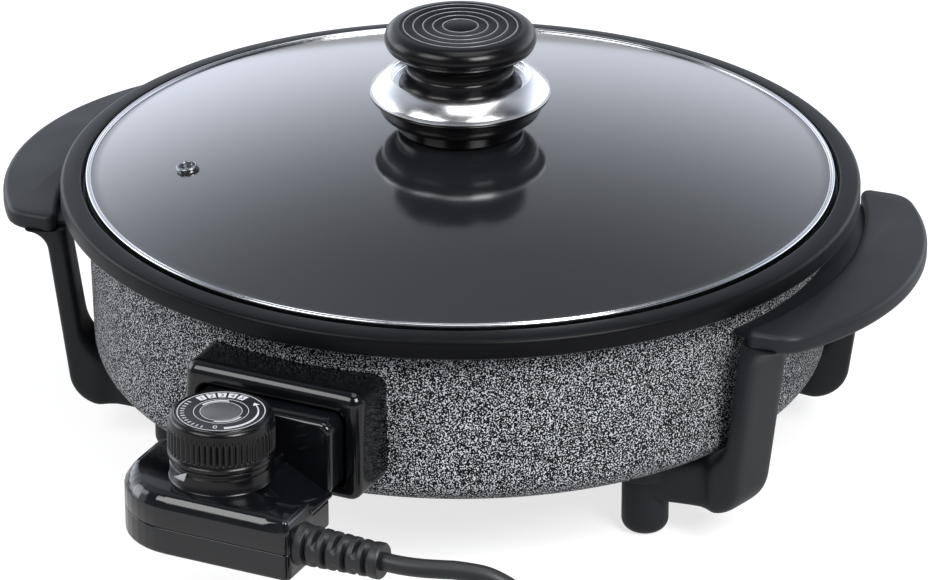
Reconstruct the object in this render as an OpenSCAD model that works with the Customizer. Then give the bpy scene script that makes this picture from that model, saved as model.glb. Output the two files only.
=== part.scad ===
// Round electric multicooker: a deep cast pan on four feet, a lift-off domed glass lid
// and a thermostat that plugs into the front of the pan.
// Lengths are millimetres, +Z is up and the feet stand on z = 0.

/* [Pan] */
// Outer radius of the rim
rim_r = 180; // [176:1:186]
// Overhang of the rim past the wall
rim_over = 12; // [11:0.5:14]
// Width of the rim's flat top
rim_w = 9.5; // [9:0.5:10.5]
// Height of the rim band
rim_h = 10; // [8:0.5:12]
// Radius of the rim's outer top edge
rim_round = 5; // [3:0.5:6]
// Height of the pan's lower edge above the table
base_z = 42; // [40:1:48]
// Height of the pan from its lower edge to its rim
pan_h = 87.5; // [86:0.5:94]
// Depth of the cooking space
cook_depth = 50; // [48:0.5:53]
// Thickness of the wall
wall_t = 4; // [3:0.5:5]
// Thickness of the cooking floor
floor_t = 4; // [3:0.5:5]
// Inward lean of the wall from the rim to the corner
wall_lean = 1.5; // [0.5:0.5:3]
// Radius of the lower corner
corner_r = 14; // [11:1:17]

/* [Lid] */
// Rise of the glass dome above its edge
lid_rise = 20; // [16:1:26]
// Thickness of the glass
glass_t = 4; // [3:0.5:5]
// Thickness of the steel band's sheet
band_t = 0.8; // [0.6:0.1:1.2]
// Radial width of the steel band
band_w = 3.6; // [3:0.2:4.4]
// Radial gap between the band and the rim
lid_gap = 2; // [1:0.5:3]
// Depth of the seat below the rim
seat_drop = 4.5; // [3:0.5:6]
// Distance of the steam vent from the middle of the lid
vent_at = 123.5; // [90:0.5:135]

/* [Knob] */
// Radius of the knob's cap
cap_r = 34; // [32:0.5:37]
// Thickness of the knob's cap
cap_h = 11.5; // [9:0.5:13]
// Radius of the knob's waist
waist_r = 23; // [19:0.5:24]
// Height of the waist from the dish to the cap
waist_h = 16; // [14:0.5:20]
// Radius of the chrome dish
dish_r = 40.5; // [39.5:0.5:46]
// Radius of the bowl under the dish
bowl_r = 36.5; // [33:0.5:37]
// Height of the bowl under the dish
bowl_h = 19.5; // [15:0.5:24]

/* [Handles] */
// Reach of the handles past the rim
handle_over = 34; // [30:1:38]
// Thickness of the grip plate
grip_t = 8.5; // [7:0.5:11]
// Drop of the grip's top below the rim
grip_drop = 16.5; // [14:0.5:20]
// Radius of the grip's outer edge
grip_bow = 133; // [129:0.5:137]
// Radius of the corners at the grip's flat ends
grip_end = 6; // [4:0.5:8]
// Half length of the grip
grip_half = 83; // [81:1:86]
// Gap between the handle and the pan wall
grip_gap = 5; // [4:0.5:7]
// Width of the sunken ledge between the wall and the grip
ledge_w = 9; // [7:0.5:11]
// Width of a handle's leg
leg_w = 26; // [20:1:28]
// Thickness of a handle's leg
leg_t = 10; // [8:0.5:11]
// Radius of a foot
foot_r = 10.5; // [9:0.5:12]

/* [Thermostat] */
// Turn of the inlet away from the middle of the front
inlet_turn = 4; // [0:1:6]
// Half width of the inlet shroud
shroud_half = 42.5; // [41.5:0.5:46]
// Reach of the shroud past the pan wall
shroud_out = 20; // [18:0.5:24]
// Half width of the plug-in nose
nose_half = 34; // [32:0.5:35]
// Height of the plug-in nose
nose_h = 34; // [30:1:38]
// Height of the upper shell
upper_h = 15; // [13:0.5:18]
// Height of the lower shell
lower_h = 12.5; // [11:0.5:14]
// Thickness of the shells
shell_t = 2.5; // [2:0.25:3]
// Radius of the dial's knurled skirt
dial_r = 23; // [20:0.5:25]
// Height of the dial
dial_h = 19.5; // [16:0.5:24]
// Height of the fixed collar under the dial
collar_h = 9.5; // [8:0.5:13]
// Diameter of the mains cord
cord_d = 8; // [7:0.5:8.5]

/* [Hidden] */
$fn = 96;

// Clearances: between bodies that lift apart, for a shaft that turns, and round the nose
body_gap = 0.3;
shaft_gap = 0.05;
nose_gap = 1.5;
slide_gap = 0.35;

// Pan
top_z = base_z + pan_h;
wall_r = rim_r - rim_over;
low_r = wall_r - wall_lean;
rim_z = top_z - rim_h;
corner_z = base_z + corner_r;
seat_r = rim_r - rim_w;
seat_z = top_z - seat_drop;
floor_z = top_z - cook_depth;
under_z = floor_z - floor_t;
lip_w = 10;
lip_r = low_r - corner_r - lip_w;
floor_round = 8;
rim_edge = 1;

// Heating element, terminals and probe
element_r = 5;
element_inset = 63;
element_ring = wall_r - element_inset;
pin_x = 17;
pin_r = 3;
pin_z = under_z - element_r;
bushing_r = 4.5;
cold_inset = 14;
cold_end = wall_r - cold_inset;
cold_r = 4.4;
ring_cut = asin(pin_x / element_ring);
probe_r = 3;
probe_inset = 50;
probe_tip = wall_r - probe_inset;
guide_inset = 18;
guide_l = 38;
guide_out = wall_r - guide_inset;
guide_in = guide_out - guide_l;

// Lid
band_z = seat_z + body_gap;
band_r = seat_r - lid_gap;
band_in = band_r - band_w;
band_h = glass_t + 2 * band_t;
edge_z = band_z + band_t;
edge_top = edge_z + glass_t;
dome_r = (band_in * band_in + lid_rise * lid_rise) / (2 * lid_rise);
apex_z = edge_top + lid_rise;
dome_z = apex_z - dome_r;
vent_turn = 211.5;
vent_hole = 3.1;
vent_bore = 2.15;
vent_flange = 5.2;
vent_t = 0.7;

// Knob
gasket_t = 0.9;
gasket_r = 24;
gasket_sag = dome_r - sqrt(dome_r * dome_r - gasket_r * gasket_r);
base_lo = apex_z + gasket_t;
bowl_round = 5;
tier_in = 8;
tier_h = 6;
dish_lo = base_lo + bowl_h;
dish_t = 1.2;
dish_play = 0.5;
dish_skirt = 3.5;
dish_belly = 3.5;
dish_middle = 2;
dish_crest = 5.7;
dish_flat = dish_r - 9.6;
stem_lo = dish_lo + dish_t;
cap_lo = stem_lo + waist_h;
knob_top = cap_lo + cap_h;
screw_r = 2.5;
insert_r = 4.5;
insert_h = 13;
washer_r = 9;
washer_t = 1.5;
groove_w = 0.8;
groove_d = 0.5;
groove_first = 7.9;
groove_step = 4.4;

// Handles and feet
grip_in = wall_r + grip_gap;
grip_out = rim_r + handle_over;
grip_top = top_z - grip_drop;
grip_low = grip_top - grip_t;
bow_x = grip_out - grip_bow;
plate_in = grip_in + ledge_w;
end_round = 4;
end_y = grip_half - grip_end;
end_far = bow_x + sqrt(pow(grip_bow - grip_end, 2) - end_y * end_y);
near_y = grip_half - end_round;
end_near = sqrt(pow(plate_in + end_round, 2) - near_y * near_y);
bow_a = atan2(end_y, end_far - bow_x);
bow_step = (90 - bow_a) / 6;
near_a = atan2(near_y, end_near);
near_step = (90 + near_a) / 8;
ledge_t = 3;
ledge_lap = 2;
ledge_past = 0.3;
leg_turn = 22;
leg_lean = 0.132;
leg_inset = 14;
leg_top_r = grip_in + leg_inset;
leg_into_grip = 2;
ledge_a = leg_turn + asin(leg_w / 2 / (leg_top_r - leg_t)) + ledge_past;
arm_drop = 6;
arm_t = 18.5;
arm_top = base_z - arm_drop;
leg_bottom = arm_top - arm_t;
arm_w = 18;
arm_in = 27;
knee_r = 16;
knee_in = 6;
lean_a = atan(leg_lean);
foot_turn = 29.5;
foot_inset = 38;
foot_ring = wall_r - foot_inset;
foot_round = 6;
tongue_t = 4;
tongue_lap = 8;
tongue_edge = 3.5;
tongue_r = foot_r + tongue_edge;
foot_h = base_z - tongue_t;
stud_r = 3;
stud_in_foot = 20;
stud_in_boss = 24;
boss_r = 9;

// Inlet and thermostat, in a frame whose -Y axis runs out through the inlet
shroud_y = -(wall_r + shroud_out);
shroud_stock = 30;
recess_d = 14;
recess_y = shroud_y + recess_d;
nose_plugged = 10;
nose_in = shroud_y + nose_plugged;
nose_shown = 11;
nose_out = shroud_y - nose_shown;
nose_drop = 8.5;
nose_lo = pin_z - nose_drop;
nose_hi = nose_lo + nose_h;
shroud_sill = 4.5;
shroud_lo = nose_lo - nose_gap - shroud_sill;
shroud_head = 8.5;
shroud_hi = nose_hi + nose_gap + shroud_head;
shroud_round = 6;
hold_x = 29;
hold_drop = 4.5;
hold_z = pin_z - hold_drop;
hold_r = 2;
hold_in = 16;
bore_in = 10;
part_drop = 9;
part_z = pin_z - part_drop;
upper_z = part_z + upper_h;
lower_z = part_z - lower_h;
dial_x = -5;
dial_gap = 1;
dial_y = nose_out - dial_r - dial_gap;
end_margin = 8;
end_r = dial_r + end_margin;
end_shift = 12;
left_x = dial_x - end_shift;
back_step = 3;
back_x = left_x - end_r + back_step;
front_y = dial_y - end_r;
bar_d = 25;
bar_y = front_y + bar_d;
right_x = 42;
neck_x = 13;
slope_x = 34;
front_round = 3;
collar_r = dial_r - 0.8;
collar_z = upper_z + collar_h;
dial_z = collar_z + body_gap;
dial_top = dial_z + dial_h;
plate_r = dial_r - 3.4;
plate_t = 0.5;
plate_z = dial_top - 0.9;
knurls = 54;
knurl_lo = 4;
knurl_h = 9;
knurl_d = 0.7;
core_r = dial_r - knurl_d - 0.3;
dial_round = 2.6;
shaft_r = 3;
switch_half = 13;
switch_top = part_z + 2.5;
shaft_lo = switch_top + body_gap;
probe_lap = 8;
probe_back = dial_y + probe_lap;
probe_foot = [7, 5];
sleeve_l = 14;
screw_left = [20, 3];
screw_right = [15, 5.5];
screw_at = [[left_x, dial_y] - screw_left, [right_x, bar_y] - screw_right];
screw_hole = 1.5;
screw_head = 3;
screw_boss = 4;
screw_sunk = 2;
screw_reach = 6.5;
relief_y = front_y + 0.5 * bar_d;
relief_z = part_z + 0.5;
relief_l = 38;
relief_r = 8.5;
relief_step = 7;
relief_taper = 0.3;
relief_tip = right_x + relief_l;

// The pan's axis lies behind the middle of the whole cooker, which is the origin
front_reach = right_x * sin(inlet_turn) - front_y * cos(inlet_turn);
pan_y = (front_reach - rim_r) / 2;

// Cord: its route from the strain relief to the coil, the coil's turns and the plug
cord_r = cord_d / 2;
cord_sides = 10;
cord_route = [
  [relief_tip, relief_y, relief_z],
  [relief_tip + cord_d, relief_y, relief_z],
  [97, -240, 62], [105, -237.5, 62], [112, -235, 61.8], [124, -231.5, 60], [135, -228, 53.5],
  [141, -226, 46.5], [145.5, -224.5, 38], [148, -224, 30], [152, -222.5, 21.5], [158.5, -220.5, 14],
  [169, -218, 8], [181, -216.5, 5.6], [190, -216, 5.5]
];
coil_at = [190, -266, 5.5];
coil_r = 50;
coil_pitch = 8.6;
coil_turns = 4.5;
coil_rings = 24;
coil_sides = 6;
tail_x = 130;
plug_z = 18;
plug_r = 17.5;
plug_l = 44;
plug_neck = 7;
prong_r = 2.4;
prong_l = 19;
prong_half = 9.5;
tie_w = 9;
tie_t = 1;
tie_turn = 200;

function arc(x, z, r, a0, a1, n) =
  [for (i = [0 : n]) let (a = a0 + (a1 - a0) * i / n) [x + r * cos(a), z + r * sin(a)]];

module at_axis() translate([0, pan_y, 0]) children();

module at_inlet() at_axis() rotate([0, 0, -inlet_turn]) children();

module dome(r) at_axis() translate([0, 0, dome_z]) sphere(r, $fn = 240);

module lathe(points) at_axis() rotate_extrude() polygon(points);

module rod_y(x, z, r, y0, y1)
  translate([x, y0, z]) rotate([-90, 0, 0]) cylinder(h = y1 - y0, r = r);

module rod_z(x, y, r, z0, z1) translate([x, y, z0]) cylinder(h = z1 - z0, r = r);

module rounded(w, h, r) {
  square([w - 2 * r, h], center = true);
  square([w, h - 2 * r], center = true);
  for (sx = [-1, 1], sy = [-1, 1]) translate([sx * (w / 2 - r), sy * (h / 2 - r)]) circle(r);
}

module upright(w, z0, z1, r, y0, y1)
  translate([0, y1, (z0 + z1) / 2]) rotate([90, 0, 0]) linear_extrude(y1 - y0) rounded(w, z1 - z0, r);

module side_profile(points, x0, x1)
  translate([x0, 0, 0]) rotate([90, 0, 90]) linear_extrude(x1 - x0) polygon(points);

function foot_at(sx, sy) = [sx * foot_ring * cos(foot_turn), sy * foot_ring * sin(foot_turn)];

module at_feet() for (sx = [-1, 1], sy = [-1, 1]) translate(foot_at(sx, sy)) children();

module pan_profile() polygon(concat(
  [[lip_r, base_z]],
  arc(low_r - corner_r, corner_z, corner_r, -90, 0, 8),
  [[wall_r, rim_z], [rim_r - rim_edge, rim_z], [rim_r, rim_z + rim_edge]],
  arc(rim_r - rim_round, top_z - rim_round, rim_round, 0, 90, 6),
  [[seat_r, top_z], [seat_r, seat_z], [wall_r - wall_t, seat_z]],
  arc(low_r - wall_t - floor_round, floor_z + floor_round, floor_round, 0, -90, 5),
  [[0, floor_z], [0, under_z], [low_r - wall_t, under_z]],
  arc(low_r - corner_r, corner_z, corner_r - wall_t, 0, -90, 6),
  [[lip_r, base_z + wall_t]]));

module pan_body() color("dimgray") difference() {
  at_axis() {
    rotate_extrude() pan_profile();
    at_feet() rod_z(0, 0, boss_r, base_z, under_z + 1);
    rotate([0, 0, -inlet_turn]) for (s = [-1, 1])
      rod_y(s * hold_x, hold_z, hold_r + 3, -wall_r + 5, -wall_r + 18);
  }
  at_axis() at_feet() rod_z(0, 0, stud_r, base_z - 1, base_z + stud_in_boss);
  at_inlet() for (s = [-1, 1]) {
    rod_y(s * pin_x, pin_z, bushing_r, -wall_r - 5, -wall_r + 20);
    rod_y(s * hold_x, hold_z, hold_r, -wall_r - 5, -wall_r + 19);
  }
  at_inlet() rod_y(0, pin_z, probe_r + 1, -wall_r - 5, -wall_r + hold_in);
}

module heating_element() color("silver") at_inlet() translate([0, 0, pin_z]) {
  rotate([0, 0, 270 + ring_cut]) rotate_extrude(angle = 360 - 2 * ring_cut)
    translate([element_ring, 0]) circle(element_r, $fn = 32);
  for (s = [-1, 1]) rod_y(s * pin_x, 0, cold_r, -cold_end, 2 - element_ring * cos(ring_cut));
}

module terminal_pins() color("silver") at_inlet()
  for (s = [-1, 1]) rod_y(s * pin_x, pin_z, pin_r, shroud_y + 2, -cold_end);

module terminal_bushings() color("white") at_inlet() for (s = [-1, 1]) difference() {
  rod_y(s * pin_x, pin_z, bushing_r, recess_y - 2, -cold_end);
  rod_y(s * pin_x, pin_z, pin_r, recess_y - 3, -cold_end + 1);
}

module probe_guide() color("silver") at_inlet() difference() {
  rod_y(0, pin_z, element_r, -guide_out, -guide_in);
  rod_y(0, pin_z, probe_r + slide_gap, -guide_out - 1, -guide_in + 1);
}

module wall_cone() translate([0, 0, corner_z])
  cylinder(h = rim_z - corner_z, r1 = low_r, r2 = wall_r, $fn = 192);

module inlet_shroud() color("black") at_inlet() difference() {
  intersection() {
    upright(2 * shroud_half, shroud_lo, shroud_hi, shroud_round, shroud_y, shroud_stock - wall_r);
    translate([0, 0, shroud_lo]) linear_extrude(shroud_hi - shroud_lo)
      translate([0, shroud_stock - wall_r])
        rounded(2 * shroud_half, 2 * (shroud_out + shroud_stock), shroud_round);
    side_profile(concat(
      arc(shroud_y + shroud_round, shroud_lo + shroud_round, shroud_round, 270, 180, 6),
      arc(shroud_y + shroud_round, shroud_hi - shroud_round, shroud_round, 180, 90, 6),
      [[shroud_stock - wall_r, shroud_hi], [shroud_stock - wall_r, shroud_lo]]), -shroud_half, shroud_half);
  }
  wall_cone();
  upright(2 * (nose_half + nose_gap), nose_lo - nose_gap, nose_hi + nose_gap, shroud_round,
    shroud_y - 1, recess_y);
  for (s = [-1, 1]) {
    rod_y(s * pin_x, pin_z, bushing_r, recess_y - 1, -wall_r + bore_in);
    rod_y(s * hold_x, hold_z, hold_r, recess_y - 1, -wall_r + bore_in);
  }
  rod_y(0, pin_z, probe_r + 1, recess_y - 1, -wall_r + bore_in);
}

module shroud_screws() color("silver") at_inlet() for (s = [-1, 1]) {
  rod_y(s * hold_x, hold_z, hold_r, recess_y, -wall_r + 16);
  rod_y(s * hold_x, hold_z, hold_r + 1.5, recess_y - 2.5, recess_y);
}

module grip_outline() polygon(concat(
  arc(bow_x, 0, grip_bow, -bow_a, bow_a, 60),
  arc(end_far, end_y, grip_end, bow_a + bow_step, 90, 5),
  arc(end_near, near_y, end_round, 90, 180 + near_a - near_step, 7),
  arc(0, 0, plate_in, near_a, -near_a, 60),
  arc(end_near, -near_y, end_round, 180 - near_a + near_step, 270, 7),
  arc(end_far, -end_y, grip_end, 270, 360 - bow_a - bow_step, 5)));

module ledge_outline() polygon(concat(
  arc(0, 0, plate_in + ledge_lap, -ledge_a, ledge_a, 60),
  arc(0, 0, grip_in, ledge_a, -ledge_a, 60)));

function leg_out(z) = leg_top_r - leg_lean * (grip_low - z);

module leg_profile() polygon(concat(
  [[leg_out(grip_low + leg_into_grip), grip_low + leg_into_grip]],
  arc(leg_out(leg_bottom + knee_r) - knee_r / cos(lean_a), leg_bottom + knee_r, knee_r, -lean_a, -90, 8),
  [[leg_out(leg_bottom) - arm_in, leg_bottom], [leg_out(leg_bottom) - arm_in, arm_top]],
  arc(leg_out(arm_top + knee_in) - leg_t - knee_in / cos(lean_a), arm_top + knee_in, knee_in,
    -90, -lean_a, 5),
  [[leg_out(grip_low + leg_into_grip) - leg_t, grip_low + leg_into_grip]]));

module arm_outline(s) {
  from = [foot_ring * cos(foot_turn), s * foot_ring * sin(foot_turn)];
  run = (leg_out(leg_bottom) - arm_in + 8) * [cos(leg_turn), s * sin(leg_turn)] - from;
  translate(from) rotate([0, 0, atan2(run[1], run[0])]) translate([0, -arm_w / 2]) square([norm(run), arm_w]);
}

module handle() at_axis() difference() {
  union() {
    translate([0, 0, grip_low]) linear_extrude(grip_t) grip_outline();
    translate([0, 0, grip_low]) linear_extrude(ledge_t) ledge_outline();
    for (s = [-1, 1]) {
      rotate([0, 0, s * leg_turn]) rotate([90, 0, 0]) linear_extrude(leg_w, center = true) leg_profile();
      translate([0, 0, leg_bottom]) linear_extrude(arm_top - leg_bottom) arm_outline(s);
      translate(foot_at(1, s)) rod_z(0, 0, tongue_r, arm_top - tongue_lap, base_z);
    }
  }
  for (s = [-1, 1]) translate(foot_at(1, s)) {
    rod_z(0, 0, foot_r, leg_bottom - 1, foot_h);
    rod_z(0, 0, stud_r, foot_h - 1, base_z + 1);
  }
}

module handle_right() color("#1b1c1e") handle();

module handle_left() color("#1b1c1e") mirror([1, 0, 0]) handle();

module foot(sx, sy) color("#18191b") at_axis() translate(foot_at(sx, sy)) rotate_extrude() polygon(concat(
  [[0, 0]],
  arc(foot_r - foot_round, foot_round, foot_round, -90, 0, 6),
  [[foot_r, foot_h], [stud_r, foot_h], [stud_r, foot_h - stud_in_foot], [0, foot_h - stud_in_foot]]));

module foot_studs() color("silver") at_axis() at_feet()
  rod_z(0, 0, stud_r, foot_h - stud_in_foot, base_z + stud_in_boss);

module lid_glass() color("#5a5d62", 0.5) difference() {
  union() {
    intersection() {
      difference() {
        dome(dome_r);
        dome(dome_r - glass_t);
      }
      at_axis() rod_z(0, 0, band_in, edge_z, apex_z + 1);
    }
    lathe([[band_in - 1, edge_z], [band_r - band_t, edge_z], [band_r - band_t, edge_top],
      [band_in - 1, edge_top]]);
  }
  at_axis() rod_z(0, 0, screw_r + 1, apex_z - 10, apex_z + 1);
  at_vent() rod_z(0, 0, vent_hole, -10, 10);
}

module at_vent() at_axis() translate([0, 0, dome_z]) rotate([0, 0, vent_turn])
  rotate([0, asin(vent_at / dome_r), 0]) translate([0, 0, dome_r]) children();

module lid_band() color("gainsboro") lathe([
  [band_in, band_z], [band_r, band_z], [band_r, band_z + band_h], [band_in, band_z + band_h],
  [band_in, edge_top], [band_r - band_t, edge_top], [band_r - band_t, edge_z], [band_in, edge_z]]);

module vent_eyelet() color("gainsboro") at_vent() rotate_extrude() polygon([
  [vent_bore, -glass_t - vent_t], [vent_flange, -glass_t - vent_t], [vent_flange, -glass_t],
  [vent_hole, -glass_t], [vent_hole, 0], [vent_flange, 0], [vent_flange - 0.4, vent_t], [vent_bore, vent_t]]);

module knob_gasket() color("black") lathe([
  [screw_r, apex_z], [gasket_r, apex_z - gasket_sag], [gasket_r, base_lo], [screw_r, base_lo]]);

module knob_base() color("black") lathe(concat(
  [[screw_r, base_lo], [bowl_r - tier_in, base_lo], [bowl_r - tier_in, base_lo + tier_h]],
  arc(bowl_r - bowl_round, base_lo + tier_h + bowl_round, bowl_round, -90, 0, 8),
  [[bowl_r, dish_lo - 1], [bowl_r - 1, dish_lo], [screw_r, dish_lo]]));

module knob_dish() color("gainsboro") lathe(concat(
  [[screw_r, dish_lo], [bowl_r + dish_play, dish_lo], [bowl_r + dish_play, dish_lo - dish_skirt]],
  [[dish_r - dish_belly + 1.2, dish_lo - dish_skirt]],
  arc(dish_r - dish_belly, dish_lo + dish_middle, dish_belly, -60, 70, 10),
  [[dish_flat + 2, dish_lo + dish_crest], [dish_flat, dish_lo + dish_crest - 0.6]],
  [[dish_flat, stem_lo], [screw_r, stem_lo]]));

module knob_cap() color("#151515") difference() {
  lathe(concat(
    [[0, stem_lo + insert_h], [insert_r, stem_lo + insert_h], [insert_r, stem_lo], [waist_r + 3, stem_lo]],
    [[waist_r + 1, stem_lo + 2.5], [waist_r, (stem_lo + cap_lo) / 2], [waist_r + 1, cap_lo - 1.5]],
    arc(cap_r - cap_h / 2, cap_lo + cap_h / 2, cap_h / 2, -80, 90, 8),
    [[0, knob_top]]));
  for (k = [0 : 4]) at_axis() translate([0, 0, knob_top - groove_d]) difference() {
    cylinder(h = 2, r = groove_first + groove_step * k + groove_w / 2);
    translate([0, 0, -1]) cylinder(h = 4, r = groove_first + groove_step * k - groove_w / 2);
  }
}

module knob_insert() color("goldenrod") at_axis() difference() {
  rod_z(0, 0, insert_r, stem_lo, stem_lo + insert_h);
  rod_z(0, 0, screw_r, stem_lo - 1, stem_lo + insert_h - 2);
}

module knob_screw() color("silver") at_axis() {
  rod_z(0, 0, screw_r, apex_z - glass_t - washer_t, stem_lo + insert_h - 2);
  rod_z(0, 0, 2 * screw_r, apex_z - glass_t - washer_t - 3.5, apex_z - glass_t - washer_t);
}

module knob_washer() color("dimgray") difference() {
  at_axis() rod_z(0, 0, washer_r, apex_z - glass_t - washer_t, apex_z - glass_t);
  at_axis() rod_z(0, 0, screw_r, apex_z - glass_t - washer_t - 1, apex_z);
}

module body_outline(side_x) polygon(concat(
  arc(left_x, dial_y, end_r, 180, 270, 16),
  [[right_x, front_y], [right_x, bar_y], [side_x, bar_y], [side_x, nose_out], [back_x, nose_out]]));

module cavity_outline() polygon(concat(
  arc(left_x, dial_y, end_r - shell_t, 180, 270, 16),
  [[right_x - shell_t, front_y + shell_t], [right_x - shell_t, bar_y - shell_t]],
  [[neck_x - shell_t, bar_y - shell_t], [neck_x - shell_t, nose_out - shell_t]],
  [[back_x + shell_t, nose_out - shell_t]]));

module upper_housing() color("#101113") at_inlet() difference() {
  union() {
    intersection() {
      translate([0, 0, part_z]) linear_extrude(upper_h) body_outline(neck_x);
      side_profile(concat([[front_y, part_z]],
        arc(front_y + front_round, upper_z - front_round, front_round, 180, 90, 6),
        [[nose_in, upper_z], [nose_in, part_z]]), left_x - end_r - 1, right_x + 1);
    }
    translate([0, nose_out + 1, 0]) rotate([90, 0, 0]) linear_extrude(nose_out + 2 - bar_y)
      polygon([[neck_x - 4, part_z], [slope_x, part_z], [slope_x, part_z + 2],
        [neck_x, upper_z - 2], [neck_x - 4, upper_z - 2]]);
    upright(2 * nose_half, nose_lo, nose_hi, shroud_round - 1, nose_out, nose_in);
  }
  difference() {
    translate([0, 0, part_z - 1]) linear_extrude(upper_h + 1 - shell_t) cavity_outline();
    for (p = screw_at) rod_z(p[0], p[1], screw_boss, part_z - 2, upper_z);
  }
  for (p = screw_at) rod_z(p[0], p[1], screw_hole, part_z - 2, part_z + screw_reach);
  rod_z(dial_x, dial_y, shaft_r + shaft_gap, upper_z - shell_t - 1, upper_z + 1);
  rod_y(0, pin_z, probe_r, probe_back, nose_in + 1);
  for (s = [-1, 1]) rod_y(s * pin_x, pin_z, bushing_r, nose_in - sleeve_l, nose_in + 1);
}

module lower_housing() color("#101113") at_inlet() difference() {
  intersection() {
    translate([0, 0, lower_z]) linear_extrude(lower_h) body_outline(slope_x);
    side_profile(concat(
      arc(front_y + front_round, lower_z + front_round, front_round, 270, 180, 6),
      [[front_y, part_z], [nose_in, part_z], [nose_in, lower_z]]), left_x - end_r - 1, right_x + 1);
  }
  difference() {
    translate([0, 0, lower_z + shell_t]) linear_extrude(lower_h) cavity_outline();
    for (p = screw_at) rod_z(p[0], p[1], screw_boss, lower_z, part_z);
  }
  for (p = screw_at) {
    rod_z(p[0], p[1], screw_hole, lower_z - 1, part_z + 1);
    rod_z(p[0], p[1], screw_head, lower_z - 1, lower_z + screw_sunk);
  }
}

module housing_screws() color("silver") at_inlet() for (p = screw_at) {
  rod_z(p[0], p[1], screw_hole, lower_z + screw_sunk, part_z + screw_reach);
  rod_z(p[0], p[1], screw_head, lower_z, lower_z + screw_sunk);
}

module dial_collar() color("#141414") at_inlet() translate([dial_x, dial_y, 0]) rotate_extrude() polygon([
  [shaft_r + shaft_gap, upper_z], [collar_r, upper_z], [collar_r, collar_z - 3],
  [collar_r - 0.8, collar_z - 2.4], [collar_r - 0.8, collar_z - 1.6], [collar_r, collar_z - 1],
  [collar_r, collar_z], [shaft_r + shaft_gap, collar_z]]);

module thermostat_switch() color("tan") at_inlet()
  translate([dial_x - switch_half, dial_y - switch_half, lower_z + shell_t])
    cube([2 * switch_half, 2 * switch_half, switch_top - lower_z - shell_t]);

module contact_sleeves() color("goldenrod") at_inlet() for (s = [-1, 1]) difference() {
  rod_y(s * pin_x, pin_z, bushing_r, nose_in - sleeve_l, nose_in);
  rod_y(s * pin_x, pin_z, pin_r + slide_gap, nose_in - sleeve_l + 2, nose_in + 1);
}

module sensor_probe() color("silver") at_inlet() {
  rod_y(0, pin_z, probe_r, probe_back, -probe_tip - probe_r);
  translate([0, -probe_tip - probe_r, pin_z]) sphere(probe_r, $fn = 48);
  translate([-probe_foot[0] / 2, probe_back + 1 - probe_foot[1], switch_top])
    cube([probe_foot[0], probe_foot[1], pin_z - switch_top]);
}

module strain_relief() color("#161616") at_inlet() translate([right_x, relief_y, relief_z]) rotate([0, 90, 0])
  rotate_extrude() polygon(concat([[0, 0], [relief_r, 0]],
    [for (k = [0 : 3]) for (p = [[4, 0], [6, -1.6], [9, -1.6], [11, 0]])
      [relief_r - relief_taper * k + p[1], p[0] + relief_step * k]],
    [[relief_r - 4 * relief_taper, relief_l], [0, relief_l]]));

module temperature_dial() color("#121212") at_inlet() translate([dial_x, dial_y, 0]) {
  rotate_extrude() polygon(concat(
    [[shaft_r, dial_z], [dial_r - 0.6, dial_z], [dial_r, dial_z + 0.6], [dial_r, dial_z + 2]],
    [[dial_r - 0.8, dial_z + 2.5], [dial_r - 0.8, dial_z + 3.5], [core_r, dial_z + knurl_lo + 0.5]],
    [[core_r, dial_z + knurl_lo + knurl_h - 0.5]],
    arc(dial_r - 0.4 - dial_round, dial_top - dial_round, dial_round, 0, 90, 5),
    [[plate_r, dial_top], [plate_r, plate_z], [shaft_r, plate_z]]));
  translate([0, 0, dial_z + knurl_lo]) linear_extrude(knurl_h)
    polygon([for (i = [0 : 2 * knurls - 1]) let (r = dial_r - (i % 2) * knurl_d, a = 180 * i / knurls)
      r * [cos(a), sin(a)]]);
}

module dial_plate() color("silver") at_inlet()
  rod_z(dial_x, dial_y, plate_r, plate_z, plate_z + plate_t);

module dial_shaft() color("silver") at_inlet() rod_z(dial_x, dial_y, shaft_r, shaft_lo, plate_z);

function unit(v) = v / norm(v);

function tangent(p, i) = unit(p[min(i + 1, len(p) - 1)] - p[max(i - 1, 0)]);

// One ring of points square to the path, with its first point level with the path
function ring(p, d, r, n) = let (side = unit(cross(d, [0, 0, 1])), up = cross(side, d))
  [for (k = [0 : n - 1]) p + r * (cos(360 * k / n) * side + sin(360 * k / n) * up)];

module tube(path, r, n) {
  last = len(path) - 1;
  points = [for (i = [0 : last]) each ring(path[i], tangent(path, i), r, n)];
  sides = [for (i = [0 : last - 1], k = [0 : n - 1]) let (a = i * n + k, b = i * n + (k + 1) % n)
    each [[a, b, b + n], [a, b + n, a + n]]];
  ends = [for (k = [1 : n - 2]) each [[0, k + 1, k], [last * n, last * n + k, last * n + k + 1]]];
  polyhedron(points, concat(sides, ends));
}

module cord() color("black") at_inlet() tube(cord_route, cord_r, cord_sides);

// The coil winds in for half its turns, climbs a layer over half a turn and winds out again
function coil_radius(t) = coil_r - coil_pitch * min(t, coil_turns - t);
function coil_rise(t) = coil_pitch * min(1, max(0, 2 * (t - coil_turns / 2) + 0.5));
function coil_point(t) = coil_at
  + [coil_radius(t) * sin(360 * t), coil_radius(t) * cos(360 * t), coil_rise(t)];
coil_steps = coil_turns * coil_rings;
coil_end = coil_point(coil_turns);
coil_route = concat(
  [for (i = [0 : coil_steps]) coil_point(i / coil_rings)],
  [[172, coil_end[1], coil_end[2] + 1], [152, coil_end[1], plug_z - 0.6],
    [tail_x + cord_d, coil_end[1], plug_z], [tail_x, coil_end[1], plug_z]]);
coil_gap = min([for (i = [0 : coil_steps - coil_rings / 2], j = [i + coil_rings / 2 : coil_steps])
  norm(coil_route[i] - coil_route[j])]) - cord_d;
echo(coil_gap = coil_gap);

module cord_coil() color("black") at_inlet() tube(coil_route, cord_r, coil_sides);

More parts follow.
